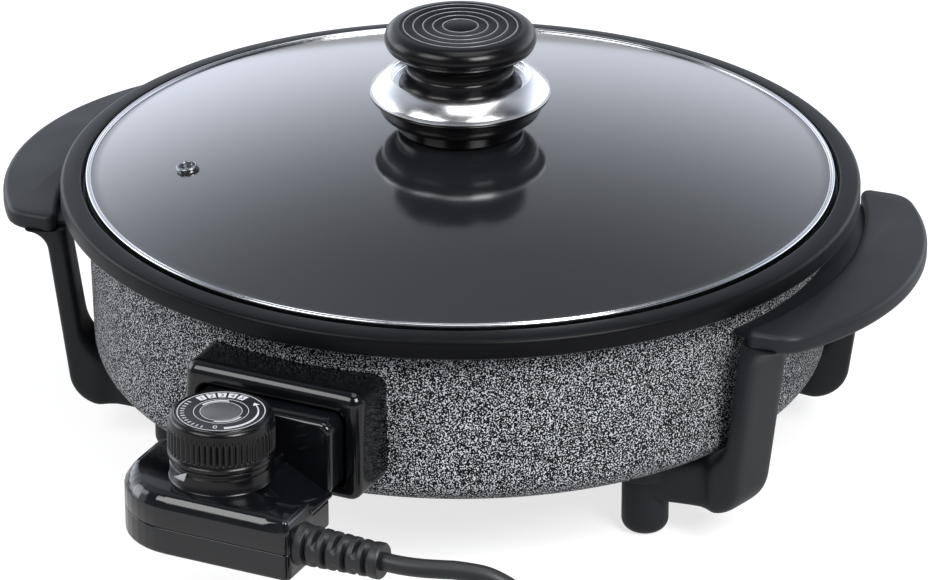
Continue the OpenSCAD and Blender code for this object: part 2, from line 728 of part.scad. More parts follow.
module cord_tie() color("black") at_inlet() {
  inner = coil_r - coil_pitch * coil_turns / 2 - cord_r - body_gap;
  outer = coil_r + cord_r + body_gap;
  low = coil_at[2] - cord_r - body_gap;
  high = coil_at[2] + coil_pitch + cord_r + body_gap;
  translate([coil_at[0], coil_at[1], 0]) rotate([0, 0, tie_turn]) translate([0, tie_w / 2, 0])
    rotate([90, 0, 0]) linear_extrude(tie_w) difference() {
      translate([inner - tie_t, low - tie_t]) square([outer - inner + 2 * tie_t, high - low + 2 * tie_t]);
      translate([inner, low]) square([outer - inner, high - low]);
    }
}

module plug_body() color("black") at_inlet() translate([tail_x, coil_end[1], plug_z]) rotate([0, -90, 0])
  rotate_extrude() polygon([[0, 0], [plug_neck, 0], [plug_neck + 1, 10], [plug_r - 2, 20], [plug_r, 24],
    [plug_r, plug_l - 1], [plug_r - 1, plug_l], [0, plug_l]]);

module plug_pins() color("silver") at_inlet() for (s = [-1, 1])
  translate([tail_x - plug_l, coil_end[1] + s * prong_half, plug_z]) rotate([0, -90, 0]) {
    cylinder(h = prong_l - prong_r, r = prong_r);
    translate([0, 0, prong_l - prong_r]) sphere(prong_r, $fn = 32);
  }

pan_body();
heating_element();
terminal_pins();
terminal_bushings();
probe_guide();
inlet_shroud();
shroud_screws();
handle_left();
handle_right();
foot(-1, -1);  // foot_front_left
foot(1, -1);  // foot_front_right
foot(-1, 1);  // foot_rear_left
foot(1, 1);  // foot_rear_right
foot_studs();
lid_glass();
lid_band();
vent_eyelet();
knob_gasket();
knob_base();
knob_dish();
knob_cap();
knob_insert();
knob_screw();
knob_washer();
upper_housing();
lower_housing();
housing_screws();
dial_collar();
thermostat_switch();
contact_sleeves();
sensor_probe();
strain_relief();
temperature_dial();
dial_plate();
dial_shaft();
cord();
cord_coil();
cord_tie();
plug_body();
plug_pins();
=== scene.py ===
"""Round electric multicooker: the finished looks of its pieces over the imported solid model.

Every shape is worked out in millimetres with numpy and put into its mesh in metres, in the model's frame.
"""

import math

import bmesh
import bpy
import numpy as np
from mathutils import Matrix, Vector


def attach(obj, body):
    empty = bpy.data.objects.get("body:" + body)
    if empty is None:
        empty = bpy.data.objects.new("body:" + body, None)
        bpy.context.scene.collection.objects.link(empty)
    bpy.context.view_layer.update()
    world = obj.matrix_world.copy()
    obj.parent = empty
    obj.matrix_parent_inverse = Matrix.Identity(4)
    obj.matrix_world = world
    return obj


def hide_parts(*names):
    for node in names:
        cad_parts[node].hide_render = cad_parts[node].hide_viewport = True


bl_info = {
    "name": "Round multicooker",
    "version": (1, 0, 0),
    "blender": (4, 5, 0),
    "location": "View3D > Sidebar > Multicooker",
    "description": "Builds the finished pieces of a round electric multicooker over its solid model",
    "category": "Add Mesh",
}

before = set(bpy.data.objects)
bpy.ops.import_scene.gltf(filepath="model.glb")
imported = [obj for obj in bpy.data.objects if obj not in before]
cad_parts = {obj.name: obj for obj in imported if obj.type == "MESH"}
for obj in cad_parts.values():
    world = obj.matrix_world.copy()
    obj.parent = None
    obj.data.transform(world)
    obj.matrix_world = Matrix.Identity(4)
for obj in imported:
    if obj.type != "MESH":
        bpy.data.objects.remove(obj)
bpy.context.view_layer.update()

# Millimetres to metres
MM = 0.001
# The pan's axis lies this far behind the origin, and the inlet is turned by this angle about it
PAN_Y = 38.15552
INLET_TURN = math.radians(4.0)
# The feet stand this far from the pan's axis, at this angle from X, and their corners are named
FOOT_REACH, FOOT_TURN = 130.0, math.radians(29.5)
CORNERS = (("front_left", -1, -1), ("front_right", 1, -1), ("rear_left", -1, 1), ("rear_right", 1, 1))
# Levels of the thermostat's shells: the line where they part and the top
PARTING_Z, SHELL_TOP = 61.5, 76.5
# Nearly all values of a noise lie between these
SPREAD = {"From Min": 0.3, "From Max": 0.7}


def linear(code):
    """A colour written as sRGB hex, as linear red, green, blue and a full alpha."""
    channel = np.array([int(code[i : i + 2], 16) for i in (1, 3, 5)]) / 255
    value = np.where(channel <= 0.04045, channel / 12.92, ((channel + 0.055) / 1.055) ** 2.4)
    return (*value.tolist(), 1.0)


def colour_setting(name, description, code):
    """A colour setting of the panel whose default is an sRGB hex value."""
    return bpy.props.FloatVectorProperty(
        name=name, description=description, default=linear(code), size=4, min=0, max=1, subtype="COLOR"
    )


def length_setting(name, description, millimetres):
    """A length setting of the panel whose default is given in millimetres."""
    return bpy.props.FloatProperty(
        name=name, description=description, default=millimetres * MM, min=0, unit="LENGTH", precision=5
    )


class CookerSizes(bpy.types.PropertyGroup):
    """Sizes of the details that the finished pieces add to the solids."""

    speckle: length_setting("Speckle", "Spacing of the hammertone paint's worms", 1.08)
    rim_edge: length_setting("Rim edge", "Radius of the rim's small edges", 1.0)
    grip_edge: length_setting("Grip edge", "Radius of the edges of the grip plates", 2.6)
    leg_fullness: bpy.props.FloatProperty(
        name="Leg fullness", description="How square the legs are: 2 is oval, 8 is nearly a box",
        default=5.0, min=2, max=12,
    )
    shell_edge: length_setting("Shell edge", "Depth of the roll along the top of the thermostat shells", 6.4)
    parting: length_setting("Parting line", "Gap that shows between the thermostat shells", 0.3)
    rib_depth: length_setting("Rib depth", "Depth of the grooves between the dial's ribs", 0.9)
    ribs: bpy.props.IntProperty(name="Ribs", description="Ribs round the dial", default=54, min=12, max=90)
    cord_width: length_setting("Cord", "Diameter of the mains cord", 8.0)


class CookerColours(bpy.types.PropertyGroup):
    """Colours of the finishes."""

    speckle_light: colour_setting("Speckle light", "Raised worms of the hammertone paint", "#D2D5DA")
    speckle_dark: colour_setting("Speckle dark", "Valleys of the hammertone paint", "#030304")
    coat: colour_setting("Coat", "Non-stick coat on the rim and inside", "#07080A")
    cast: colour_setting("Casting", "Bare cast aluminium under the pan", "#8B8C8E")
    matt_black: colour_setting("Matt black", "Handles and feet", "#191B1F")
    gloss_black: colour_setting("Gloss black", "Inlet shroud", "#0A0B0D")
    shell_black: colour_setting("Shell black", "Thermostat shells", "#0C0D10")
    # Pale grey of the knob's groove flanks: a painted highlight
    groove: colour_setting("Groove", "Turned grooves in the knob's cap", "#84878C")
    dial_black: colour_setting("Dial black", "Dial, collar and knob", "#08080A")
    dial_face: colour_setting("Dial face", "Printed face of the dial", "#17181B")
    dial_centre: colour_setting("Dial centre", "Disc in the middle of the dial", "#4A4B4F")
    ink: colour_setting("Ink", "Printed marks on the dial", "#B9BBBF")
    glass: colour_setting("Glass", "Smoke tint of the lid", "#3B3D42")
    steel: colour_setting("Steel", "Lid band and hardware", "#C4C6C9")
    eyelet: colour_setting("Eyelet", "Pressed steel of the steam eyelet", "#8A8C90")
    chrome: colour_setting("Chrome", "Ring of the knob", "#E3E4E6")
    brass: colour_setting("Brass", "Contacts, insert and prongs", "#B58F45")
    ceramic: colour_setting("Ceramic", "Bushings of the terminals", "#D9D5CB")
    rubber: colour_setting("Rubber", "Cord, strain relief and plug", "#151618")
    switch: colour_setting("Switch body", "Moulded switch inside the thermostat", "#7A6650")
    floor: colour_setting("Floor", "Plain floor under the cooker", "#F4F4F4")


# Shapes


def arc(x, y, radius, start, stop, steps):
    """Points on a circle: the centre plus the radius times the cosine and sine of even angles, in degrees."""
    angle = np.radians(np.linspace(start, stop, steps + 1))
    return np.stack((x + radius * np.cos(angle), y + radius * np.sin(angle)), -1)


def line(start, stop, count):
    """Points at even steps from one point to another."""
    return np.array(start) + (np.array(stop) - np.array(start)) * np.linspace(0, 1, count)[:, None]


def chain(*runs):
    """Runs of points, or single points, put one after another."""
    return np.concatenate([np.atleast_2d(np.asarray(run, float)) for run in runs])


def fillet(corners, radii, steps=8):
    """Closed outline whose corners are rounded: the arc that touches both sides takes each corner's place.

    Its centre lies on the corner's bisector, at the radius over the sine of half the angle there.
    """
    p = np.asarray(corners, float)
    radius = np.broadcast_to(np.asarray(radii, float), len(p))
    back = np.roll(p, 1, 0) - p
    ahead = np.roll(p, -1, 0) - p
    back /= np.linalg.norm(back, axis=1, keepdims=True)
    ahead /= np.linalg.norm(ahead, axis=1, keepdims=True)
    half = 0.5 * np.arccos(np.clip((back * ahead).sum(1), -1, 1))
    middle = back + ahead
    middle /= np.linalg.norm(middle, axis=1, keepdims=True)
    centre = p + middle * (radius / np.sin(half))[:, None]
    reach = (radius / np.tan(half))[:, None]
    first, last = p + back * reach - centre, p + ahead * reach - centre
    start = np.arctan2(first[:, 1], first[:, 0])
    turn = (np.arctan2(last[:, 1], last[:, 0]) - start + np.pi) % (2 * np.pi) - np.pi
    angle = start[:, None] + turn[:, None] * np.linspace(0, 1, steps + 1)
    return (centre[:, None] + radius[:, None, None] * np.stack((np.cos(angle), np.sin(angle)), -1)).reshape(-1, 2)


def box(left, low, right, high, radius, steps=8):
    """Rectangle with rounded corners."""
    return fillet([[left, low], [right, low], [right, high], [left, high]], radius, steps)


def resample(outline, spacing):
    """Closed outline with points at even steps along its length, and with its own points kept out."""
    ring = np.concatenate((outline, outline[:1]))
    along = np.concatenate(([0], np.cumsum(np.linalg.norm(np.diff(ring, axis=0), axis=1))))
    t = np.linspace(0, along[-1], int(along[-1] / spacing), endpoint=False)
    return np.stack([np.interp(t, along, ring[:, k]) for k in range(ring.shape[1])], -1)


def dense(outline, steps):
    """Closed outline with each of its long sides cut into even steps, so that two outlines keep matching points."""
    ahead = np.roll(outline, -1, 0)
    long = np.linalg.norm(ahead - outline, axis=1) > 5
    t = np.linspace(0, 1, steps, endpoint=False)[:, None]
    return np.concatenate([a + (b - a) * t if far else a[None] for a, b, far in zip(outline, ahead, long)])


def inset(outline, depth):
    """Counter-clockwise outline moved inwards: a point goes along the mean normal of its two sides,
    by the depth over the cosine of half their turn."""
    ahead = np.roll(outline, -1, 0) - outline
    ahead /= np.maximum(np.linalg.norm(ahead, axis=1, keepdims=True), 1e-9)
    normal = np.stack((ahead[:, 1], -ahead[:, 0]), -1)
    mean = normal + np.roll(normal, 1, 0)
    mean /= np.maximum(np.linalg.norm(mean, axis=1, keepdims=True), 1e-9)
    lean = np.maximum((mean * normal).sum(1), 0.35)
    return outline - mean * (depth / lean)[:, None]


def skin(points, wrap=(False, True), caps=False):
    """Quads over a grid of points, joined end to end along a wrapped direction, with flat ends if asked."""
    rows, columns = points.shape[:2]
    index = np.arange(rows * columns).reshape(rows, columns)
    if wrap[0]:
        index = np.concatenate((index, index[:1]))
    if wrap[1]:
        index = np.concatenate((index, index[:, :1]), 1)
    faces = np.stack((index[:-1, :-1], index[:-1, 1:], index[1:, 1:], index[1:, :-1]), -1).reshape(-1, 4).tolist()
    if caps:
        faces += [list(range(columns))[::-1], list(range((rows - 1) * columns, rows * columns))]
    return points.reshape(-1, 3), faces


def swept(radius, height, angle):
    """Grid of points about Z: each row goes to (r cos a, r sin a, z) at the angles a."""
    return np.stack((radius * np.cos(angle), radius * np.sin(angle), height + 0 * angle), -1)


def spin(profile, sides=192, loop=False):
    """Surface of revolution about Z: a profile point (r, z) goes to (r cos a, r sin a, z) at even angles a.

    A profile that ends on the axis closes there, and a looped one closes on itself.
    """
    p = np.asarray(profile, float)
    return skin(swept(p[:, :1], p[:, 1:], np.linspace(0, 2 * np.pi, sides, endpoint=False)), (loop, True))


def layers(outline, depth, level):
    """Grid of points: the outline moved inwards by each depth, at the level of the same row."""
    flat = np.stack([inset(outline, d) for d in depth])
    return np.concatenate((flat, np.broadcast_to(np.reshape(level, (-1, 1, 1)), flat.shape[:2] + (1,))), -1)


def slab(outline, low, high, edge_low, edge_high, steps=5):
    """Plate between two levels whose outline draws in over quarter circles at its lower and upper edges.

    The levels run along the third axis; the flat ends close it.
    """
    t = np.radians(np.linspace(0, 90, steps + 1))
    depth = np.concatenate((edge_low * (1 - np.sin(t)), edge_high * (1 - np.cos(t))))
    level = np.concatenate((low + edge_low * (1 - np.cos(t)), high - edge_high * (1 - np.sin(t))))
    return skin(layers(outline, depth, level), caps=True)


def tube(path, radius, sides=16):
    """Round tube along a path: each point carries a circle square to the path, level with its side vector."""
    ahead = np.gradient(path, axis=0)
    ahead /= np.linalg.norm(ahead, axis=1, keepdims=True)
    side = np.cross(ahead, [0, 0, 1])
    side /= np.linalg.norm(side, axis=1, keepdims=True)
    up = np.cross(side, ahead)
    angle = np.linspace(0, 2 * np.pi, sides, endpoint=False)[:, None]
    return skin(path[:, None] + radius * (np.cos(angle) * side[:, None] + np.sin(angle) * up[:, None]), caps=True)


def smooth_path(points, spacing):
    """Cubic curve through the points whose slope at each is half the step between its neighbours,
    laid out at even steps along its length."""
    p = np.asarray(points, float)
    wide = np.concatenate((2 * p[:1] - p[1:2], p, 2 * p[-1:] - p[-2:-1]))[:, None]
    a, b, c, d = wide[:-3], wide[1:-2], wide[2:-1], wide[3:]
    t = np.linspace(0, 1, 12, endpoint=False)[None, :, None]
    curve = 0.5 * (2 * b + (c - a) * t + (2 * a - 5 * b + 4 * c - d) * t**2 + (3 * b - a - 3 * c + d) * t**3)
    curve = np.concatenate((curve.reshape(-1, 3), p[-1:]))
    along = np.concatenate(([0], np.cumsum(np.linalg.norm(np.diff(curve, axis=0), axis=1))))
    even = np.linspace(0, along[-1], int(along[-1] / spacing))
    return np.stack([np.interp(even, along, curve[:, k]) for k in range(3)], -1)


def sector(inner, outer, start, stop, low, high, steps):
    """Flat band between two radii from one angle to another, in degrees; the radii may change along it."""
    angle = np.radians(np.linspace(start, stop, steps + 1))
    inner, outer = (np.broadcast_to(r, angle.shape) for r in (inner, outer))
    radius = np.stack((inner, outer, outer, inner), -1)
    grid = swept(radius, np.array([low, low, high, high]) + 0 * radius, angle[:, None])
    closed = abs(stop - start) >= 360
    return skin(grid[:-1] if closed else grid, (closed, True), caps=not closed)


def rod(centre, radius, low, high, axis=2, sides=32):
    """Closed cylinder along one axis: two rings of points with flat ends."""
    ring = arc(*centre, radius, 0, 360, sides)[:-1]
    return skin(np.stack([np.insert(ring, axis, level, 1) for level in (low, high)]), caps=True)


def moved(shell, place):
    """A shell whose points are put somewhere else by a function."""
    return place(shell[0]), shell[1]


def upright(p):
    """Points of a plate stood on edge: what ran along Y runs up, and its thickness runs along Y."""
    return p[:, [0, 2, 1]]


def turned(p, angle):
    """Points turned about Z."""
    c, s = math.cos(angle), math.sin(angle)
    return np.stack((p[..., 0] * c - p[..., 1] * s, p[..., 0] * s + p[..., 1] * c, p[..., 2]), -1)


def at_axis(p):
    """Points about the pan's axis, put where that axis stands."""
    return p + np.array([0, PAN_Y, 0])


def at_inlet(p):
    """Points of the inlet's own frame, whose -Y axis runs out through the inlet, turned about the pan's axis."""
    return at_axis(turned(p, -INLET_TURN))


def at_foot(x, y):
    """Where a foot stands about the pan's axis; x and y are the signs of its corner."""
    return np.array([x * FOOT_REACH * math.cos(FOOT_TURN), y * FOOT_REACH * math.sin(FOOT_TURN), 0])


def joined(name, shells, place):
    """Mesh in metres from shells in millimetres, put in place by a function if one is given.

    A shell may end with the number of its finish. Seams and poles are closed and the faces turned outward.
    """
    starts = np.cumsum([0] + [len(shell[0]) for shell in shells])
    points = np.concatenate([shell[0] for shell in shells])
    faces = [[i + int(n) for i in face] for n, shell in zip(starts, shells) for face in shell[1]]
    finish = np.concatenate([np.full(len(shell[1]), (*shell, 0)[2]) for shell in shells])
    mesh = bpy.data.meshes.new(name)
    mesh.from_pydata(((place(points) if place else points) * MM).tolist(), [], faces)
    mesh.polygons.foreach_set("material_index", finish.astype(np.int32))
    work = bmesh.new()
    work.from_mesh(mesh)
    bmesh.ops.remove_doubles(work, verts=work.verts, dist=2e-7)
    bmesh.ops.recalc_face_normals(work, faces=work.faces)
    work.to_mesh(mesh)
    work.free()
    return mesh


def shade(mesh, crease):
    """Smooth shading with sharp edges where faces meet at more than the crease angle, in degrees."""
    mesh.shade_smooth()
    mesh.set_sharp_from_angle(angle=math.radians(crease))


def piece(name, shells, finish, body, nodes, slot, place=None, crease=32):
    """One mesh object from shells, with its finishes named in one string, on its body and in place of its solids."""
    mesh = joined(name, shells, place)
    known = finishes()
    for each in finish.split():
        mesh.materials.append(known[each])
    shade(mesh, crease)
    made = bpy.data.objects.new(name, mesh)
    bpy.context.scene.collection.objects.link(made)
    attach(made, body)
    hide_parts(*nodes)
    return made


def cut(made, shells, place, crease=32):
    """Takes closed shells out of a piece and keeps its shading."""
    mesh = joined("cutter", shells, place)
    tool = bpy.data.objects.new("cutter", mesh)
    bpy.context.scene.collection.objects.link(tool)
    change = made.modifiers.new("cut", "BOOLEAN")
    change.operation, change.object, change.solver = "DIFFERENCE", tool, "EXACT"
    bpy.context.view_layer.update()
    result = bpy.data.meshes.new_from_object(made.evaluated_get(bpy.context.evaluated_depsgraph_get()))
    made.modifiers.remove(change)
    made.data, spare = result, made.data
    result.name = spare.name + "_cut"
    bpy.data.meshes.remove(spare)
    bpy.data.objects.remove(tool)
    bpy.data.meshes.remove(mesh)
    shade(result, crease)


# Finishes


def add(owner, kind, inputs=None, **settings):
    """Adds one node with its settings.

    An input that is given a node takes that node's first live output, a socket is linked, any other value is set.
    """
    tree = owner.node_tree
    node = tree.nodes.new("ShaderNode" + kind)
    for key, value in settings.items():
        setattr(node, key, value)
    for key, value in (inputs or {}).items():
        if isinstance(value, bpy.types.Node):
            value = next(socket for socket in value.outputs if socket.enabled)
        if isinstance(value, bpy.types.NodeSocket):
            tree.links.new(value, node.inputs[key])
        else:
            node.inputs[key].default_value = value
    return node


def blank(name, kind="materials"):
    """A material or a world with no nodes yet."""
    owner = getattr(bpy.data, kind).new(name)
    owner.use_nodes = True
    owner.node_tree.nodes.clear()
    return owner


def hammertone_paint(sizes, colours):
    """Hammertone paint on the casting: leafing pigment pulled into bright worms with near-black valleys between."""
    m = blank("hammertone_paint")
    where = add(m, "TexCoord").outputs["Object"]
    # A worm and its valley take up about 1.75 cells of the noise
    worms = add(m, "TexNoise", {"Vector": where, "Scale": 1.75 / sizes.speckle, "Detail": 0.0, "Distortion": 0.35})
    edge = {"Value": worms, "From Min": 0.57, "From Max": 0.605}
    share = add(m, "MapRange", edge, interpolation_type="SMOOTHSTEP")
    mottle = add(m, "TexNoise", {"Vector": where, "Scale": 1 / (22 * MM), "Detail": 2.0})
    tone = add(m, "MapRange", {"Value": mottle, **SPREAD, "To Min": 0.82, "To Max": 1.0})
    level = add(m, "Math", {0: share, 1: tone}, operation="MULTIPLY")
    colour = add(m, "Mix", {0: level, 6: colours.speckle_dark, 7: colours.speckle_light}, data_type="RGBA")
    rough = add(m, "MapRange", {"Value": share, "To Min": 0.55, "To Max": 0.34})
    bump = add(m, "Bump", {"Height": worms, "Strength": 0.55, "Distance": 0.35 * MM})
    look = {"Base Color": colour, "Roughness": rough, "Normal": bump, "Specular IOR Level": 0.12}
    add(m, "OutputMaterial", {"Surface": add(m, "BsdfPrincipled", look)})
    return m


def nonstick_coat(colours):
    """Sprayed non-stick coat: dark charcoal, matt, with a fine even grit."""
    m = blank("nonstick_coat")
    where = add(m, "TexCoord").outputs["Object"]
    # Real grit is finer; 0.8 mm is as fine as the picture shows
    grit = add(m, "TexNoise", {"Vector": where, "Scale": 1 / (0.8 * MM), "Detail": 3.0, "Roughness": 0.6})
    cloud = add(m, "TexNoise", {"Vector": where, "Scale": 1 / (30 * MM), "Detail": 2.0})
    tone = add(m, "MapRange", {"Value": grit, "From Min": 0.3, "From Max": 0.75, "To Min": 0.55, "To Max": 1.25})
    colour = add(m, "Mix", {0: 1.0, 6: colours.coat, 7: tone}, data_type="RGBA", blend_type="MULTIPLY")
    rough = add(m, "MapRange", {"Value": cloud, "To Min": 0.3, "To Max": 0.4})
    bump = add(m, "Bump", {"Height": grit, "Strength": 0.35, "Distance": 0.1 * MM})
    look = {
        "Base Color": colour, "Roughness": rough, "Normal": bump, "Specular IOR Level": 0.11,
        "Sheen Weight": 0.14, "Sheen Roughness": 0.35, "Sheen Tint": linear("#C3CBD8"),
    }
    add(m, "OutputMaterial", {"Surface": add(m, "BsdfPrincipled", look)})
    return m


def cast_aluminium(colours):
    """Sand-cast aluminium left bare under the pan: dull grey metal with a grainy skin."""
    m = blank("cast_aluminium")
    where = add(m, "TexCoord").outputs["Object"]
    grain = add(m, "TexNoise", {"Vector": where, "Scale": 1 / (1.2 * MM), "Detail": 4.0})
    tone = add(m, "MapRange", {"Value": grain, **SPREAD, "To Min": 0.7, "To Max": 1.0})
    colour = add(m, "Mix", {0: 1.0, 6: colours.cast, 7: tone}, data_type="RGBA", blend_type="MULTIPLY")
    bump = add(m, "Bump", {"Height": grain, "Strength": 0.4, "Distance": 0.2 * MM})
    look = {"Base Color": colour, "Metallic": 1.0, "Roughness": 0.5, "Normal": bump}
    add(m, "OutputMaterial", {"Surface": add(m, "BsdfPrincipled", look)})
    return m


def moulded_plastic(name, base, rough_low, rough_high, grain, depth, specular=0.5):
    """Moulded plastic: one deep colour whose gloss changes a little over the surface, with the mould's fine grain.

    The grain and its depth are in millimetres.
    """
    m = blank(name)
    where = add(m, "TexCoord").outputs["Object"]
    fine = add(m, "TexNoise", {"Vector": where, "Scale": 1 / (grain * MM), "Detail": 2.0})
    flow = add(m, "TexNoise", {"Vector": where, "Scale": 1 / (28 * MM), "Detail": 1.5})
    tone = add(m, "MapRange", {"Value": flow, **SPREAD, "To Min": 0.86, "To Max": 1.08})
    colour = add(m, "Mix", {0: 1.0, 6: base, 7: tone}, data_type="RGBA", blend_type="MULTIPLY")
    rough = add(m, "MapRange", {"Value": flow, **SPREAD, "To Min": rough_low, "To Max": rough_high})
    bump = add(m, "Bump", {"Height": fine, "Strength": 0.3, "Distance": depth * MM})
    look = {"Base Color": colour, "Roughness": rough, "Normal": bump, "Specular IOR Level": specular}
    add(m, "OutputMaterial", {"Surface": add(m, "BsdfPrincipled", look)})
    return m


def metal(name, base, rough_low, rough_high, grain, depth):
    """Worked metal: its colour in the reflection, with fine marks left by rolling, turning or plating.

    The marks' size and depth are in millimetres.
    """
    m = blank(name)
    where = add(m, "TexCoord").outputs["Object"]
    marks = add(m, "TexNoise", {"Vector": where, "Scale": 1 / (grain * MM), "Detail": 3.0})
    rough = add(m, "MapRange", {"Value": marks, **SPREAD, "To Min": rough_low, "To Max": rough_high})
    bump = add(m, "Bump", {"Height": marks, "Strength": 0.2, "Distance": depth * MM})
    look = {"Base Color": base, "Metallic": 1.0, "Roughness": rough, "Normal": bump}
    add(m, "OutputMaterial", {"Surface": add(m, "BsdfPrincipled", look)})
    return m


def tinted_glass(colours):
    """Smoke-tinted tempered glass: a mirror at low angles, dark and faintly clear from above."""
    m = blank("tinted_glass")
    where = add(m, "TexCoord").outputs["Object"]
    ripple = add(m, "TexNoise", {"Vector": where, "Scale": 1 / (90 * MM), "Detail": 1.0})
    rough = add(m, "MapRange", {"Value": ripple, "To Min": 0.09, "To Max": 0.13})
    look = {
        "Base Color": colours.glass, "Roughness": rough, "IOR": 1.6, "Transmission Weight": 0.75,
        "Coat Weight": 1.0, "Coat Roughness": 0.11, "Coat IOR": 1.8,
    }
    add(m, "OutputMaterial", {"Surface": add(m, "BsdfPrincipled", look)})
    return m


def finishes():
    """Every finish of the cooker, made once and kept by name."""
    made = {m.name: m for m in bpy.data.materials if m.use_nodes and m.get("cooker_finish")}
    if made:
        return made
    c = bpy.context.scene.cooker_colours
    new = [
        hammertone_paint(bpy.context.scene.cooker_sizes, c),
        nonstick_coat(c),
        cast_aluminium(c),
        tinted_glass(c),
        # Matt phenolic of the handles and feet: soft broad highlights over a fine grain
        moulded_plastic("matt_phenolic", c.matt_black, 0.4, 0.5, 0.7, 0.08, 0.28),
        # Polished phenolic: near-black, with sharp streaks of the studio lights
        moulded_plastic("gloss_phenolic", c.gloss_black, 0.1, 0.16, 5, 0.03, 0.4),
        # The thermostat's shells: the same streaks over a greyer black
        moulded_plastic("satin_phenolic", c.shell_black, 0.08, 0.12, 3, 0.012),
        # The knob's plastic, softer in its lights than the shroud
        moulded_plastic("knob_phenolic", c.dial_black, 0.2, 0.27, 4, 0.03, 0.24),
        # The flat top of the knob's cap, dulled by the turning tool: a deep black between the grooves
        moulded_plastic("turned_phenolic", c.dial_black, 0.34, 0.42, 4, 0.03, 0.07),
        # Flanks of the knob's grooves, painted pale grey as a painted highlight along each groove
        moulded_plastic("buffed_groove", c.groove, 0.3, 0.4, 0.5, 0.02),
        # Satin ABS of the dial: black with soft lights along its ribs
        moulded_plastic("satin_abs", c.dial_black, 0.2, 0.28, 0.9, 0.03, 0.3),
        # Printed foil of the dial's face: dark, with a dim even shine
        moulded_plastic("printed_foil", c.dial_face, 0.3, 0.36, 0.5, 0.02),
        # Disc in the middle of the dial: a soft mid grey
        moulded_plastic("satin_disc", c.dial_centre, 0.35, 0.42, 0.4, 0.03),
        # Screen-printed ink, dull and pale
        moulded_plastic("screen_ink", c.ink, 0.45, 0.55, 0.3, 0.01),
        # Extruded rubber sheath: deep black with a wide dim sheen
        moulded_plastic("extruded_rubber", c.rubber, 0.42, 0.52, 1.2, 0.05),
        # Unglazed ceramic: chalky off-white with no shine
        moulded_plastic("unglazed_ceramic", c.ceramic, 0.6, 0.7, 0.6, 0.05),
        # Moulded phenolic of the switch: dull brown
        moulded_plastic("moulded_switch", c.switch, 0.45, 0.55, 0.8, 0.05),
        # Bright rolled steel: clean reflections, slightly blurred along the roll
        metal("rolled_steel", c.steel, 0.12, 0.2, 2.5, 0.02),
        # Plain steel of the hardware: grey and half dull
        metal("plain_steel", c.steel, 0.28, 0.4, 0.8, 0.04),
        # Pressed steel of the eyelet, left dull: a grey ring with one bright edge
        metal("pressed_steel", c.eyelet, 0.22, 0.32, 1.5, 0.03),
        # Satin chrome plate: white lights that run softly into the dark ones
        metal("chrome_plate", c.chrome, 0.17, 0.24, 6, 0.015),
        # Turned brass: warm yellow with soft lights
        metal("turned_brass", c.brass, 0.2, 0.32, 0.6, 0.03),
    ]
    for m in new:
        m["cooker_finish"] = True
    return {m.name: m for m in new}


# Stage

# Soft boxes: name, place, aim, width, height and watts
LAMPS = (
    ("front_box", (-0.66, -1.25, 1.35), (0, -0.2, 0.07), 1.1, 0.85, 20.0),
    ("right_box", (1.25, -0.85, 1.35), (0.05, 0, 0.08), 0.8, 0.8, 38.0),
    ("left_box", (-1.7, -0.2, 0.7), (-0.05, 0, 0.08), 0.8, 1.0, 7.0),
    ("top_box", (0.2, 0.1, 1.9), (0, 0.04, 0.1), 1.4, 1.0, 12.0),
)


def pale_floor(colours):
    """Plain pale floor: matt paper that keeps the shadow, with a white glow where the camera sees it.

    In the pieces' own reflections the glow is dimmer, as on a floor that runs off into a dark studio.
    """
    m = blank("pale_floor")
    paths = add(m, "LightPath").outputs
    dim = add(m, "Math", {0: paths["Is Glossy Ray"], 1: 0.4}, operation="MULTIPLY")
    seen = add(m, "Math", {0: paths["Is Camera Ray"], 1: dim}, operation="MAXIMUM")
    seen = add(m, "Math", {0: seen, 1: paths["Is Transmission Ray"]}, operation="MAXIMUM")
    glow = add(m, "Math", {0: seen, 1: 0.74}, operation="MULTIPLY")
    white = add(m, "Emission", {"Color": (1, 1, 1, 1), "Strength": glow})
    paper = add(m, "BsdfDiffuse", {"Color": (*[0.45 * v for v in colours.floor[:3]], 1.0)})
    add(m, "OutputMaterial", {"Surface": add(m, "AddShader", {0: paper, 1: white})})
    return m


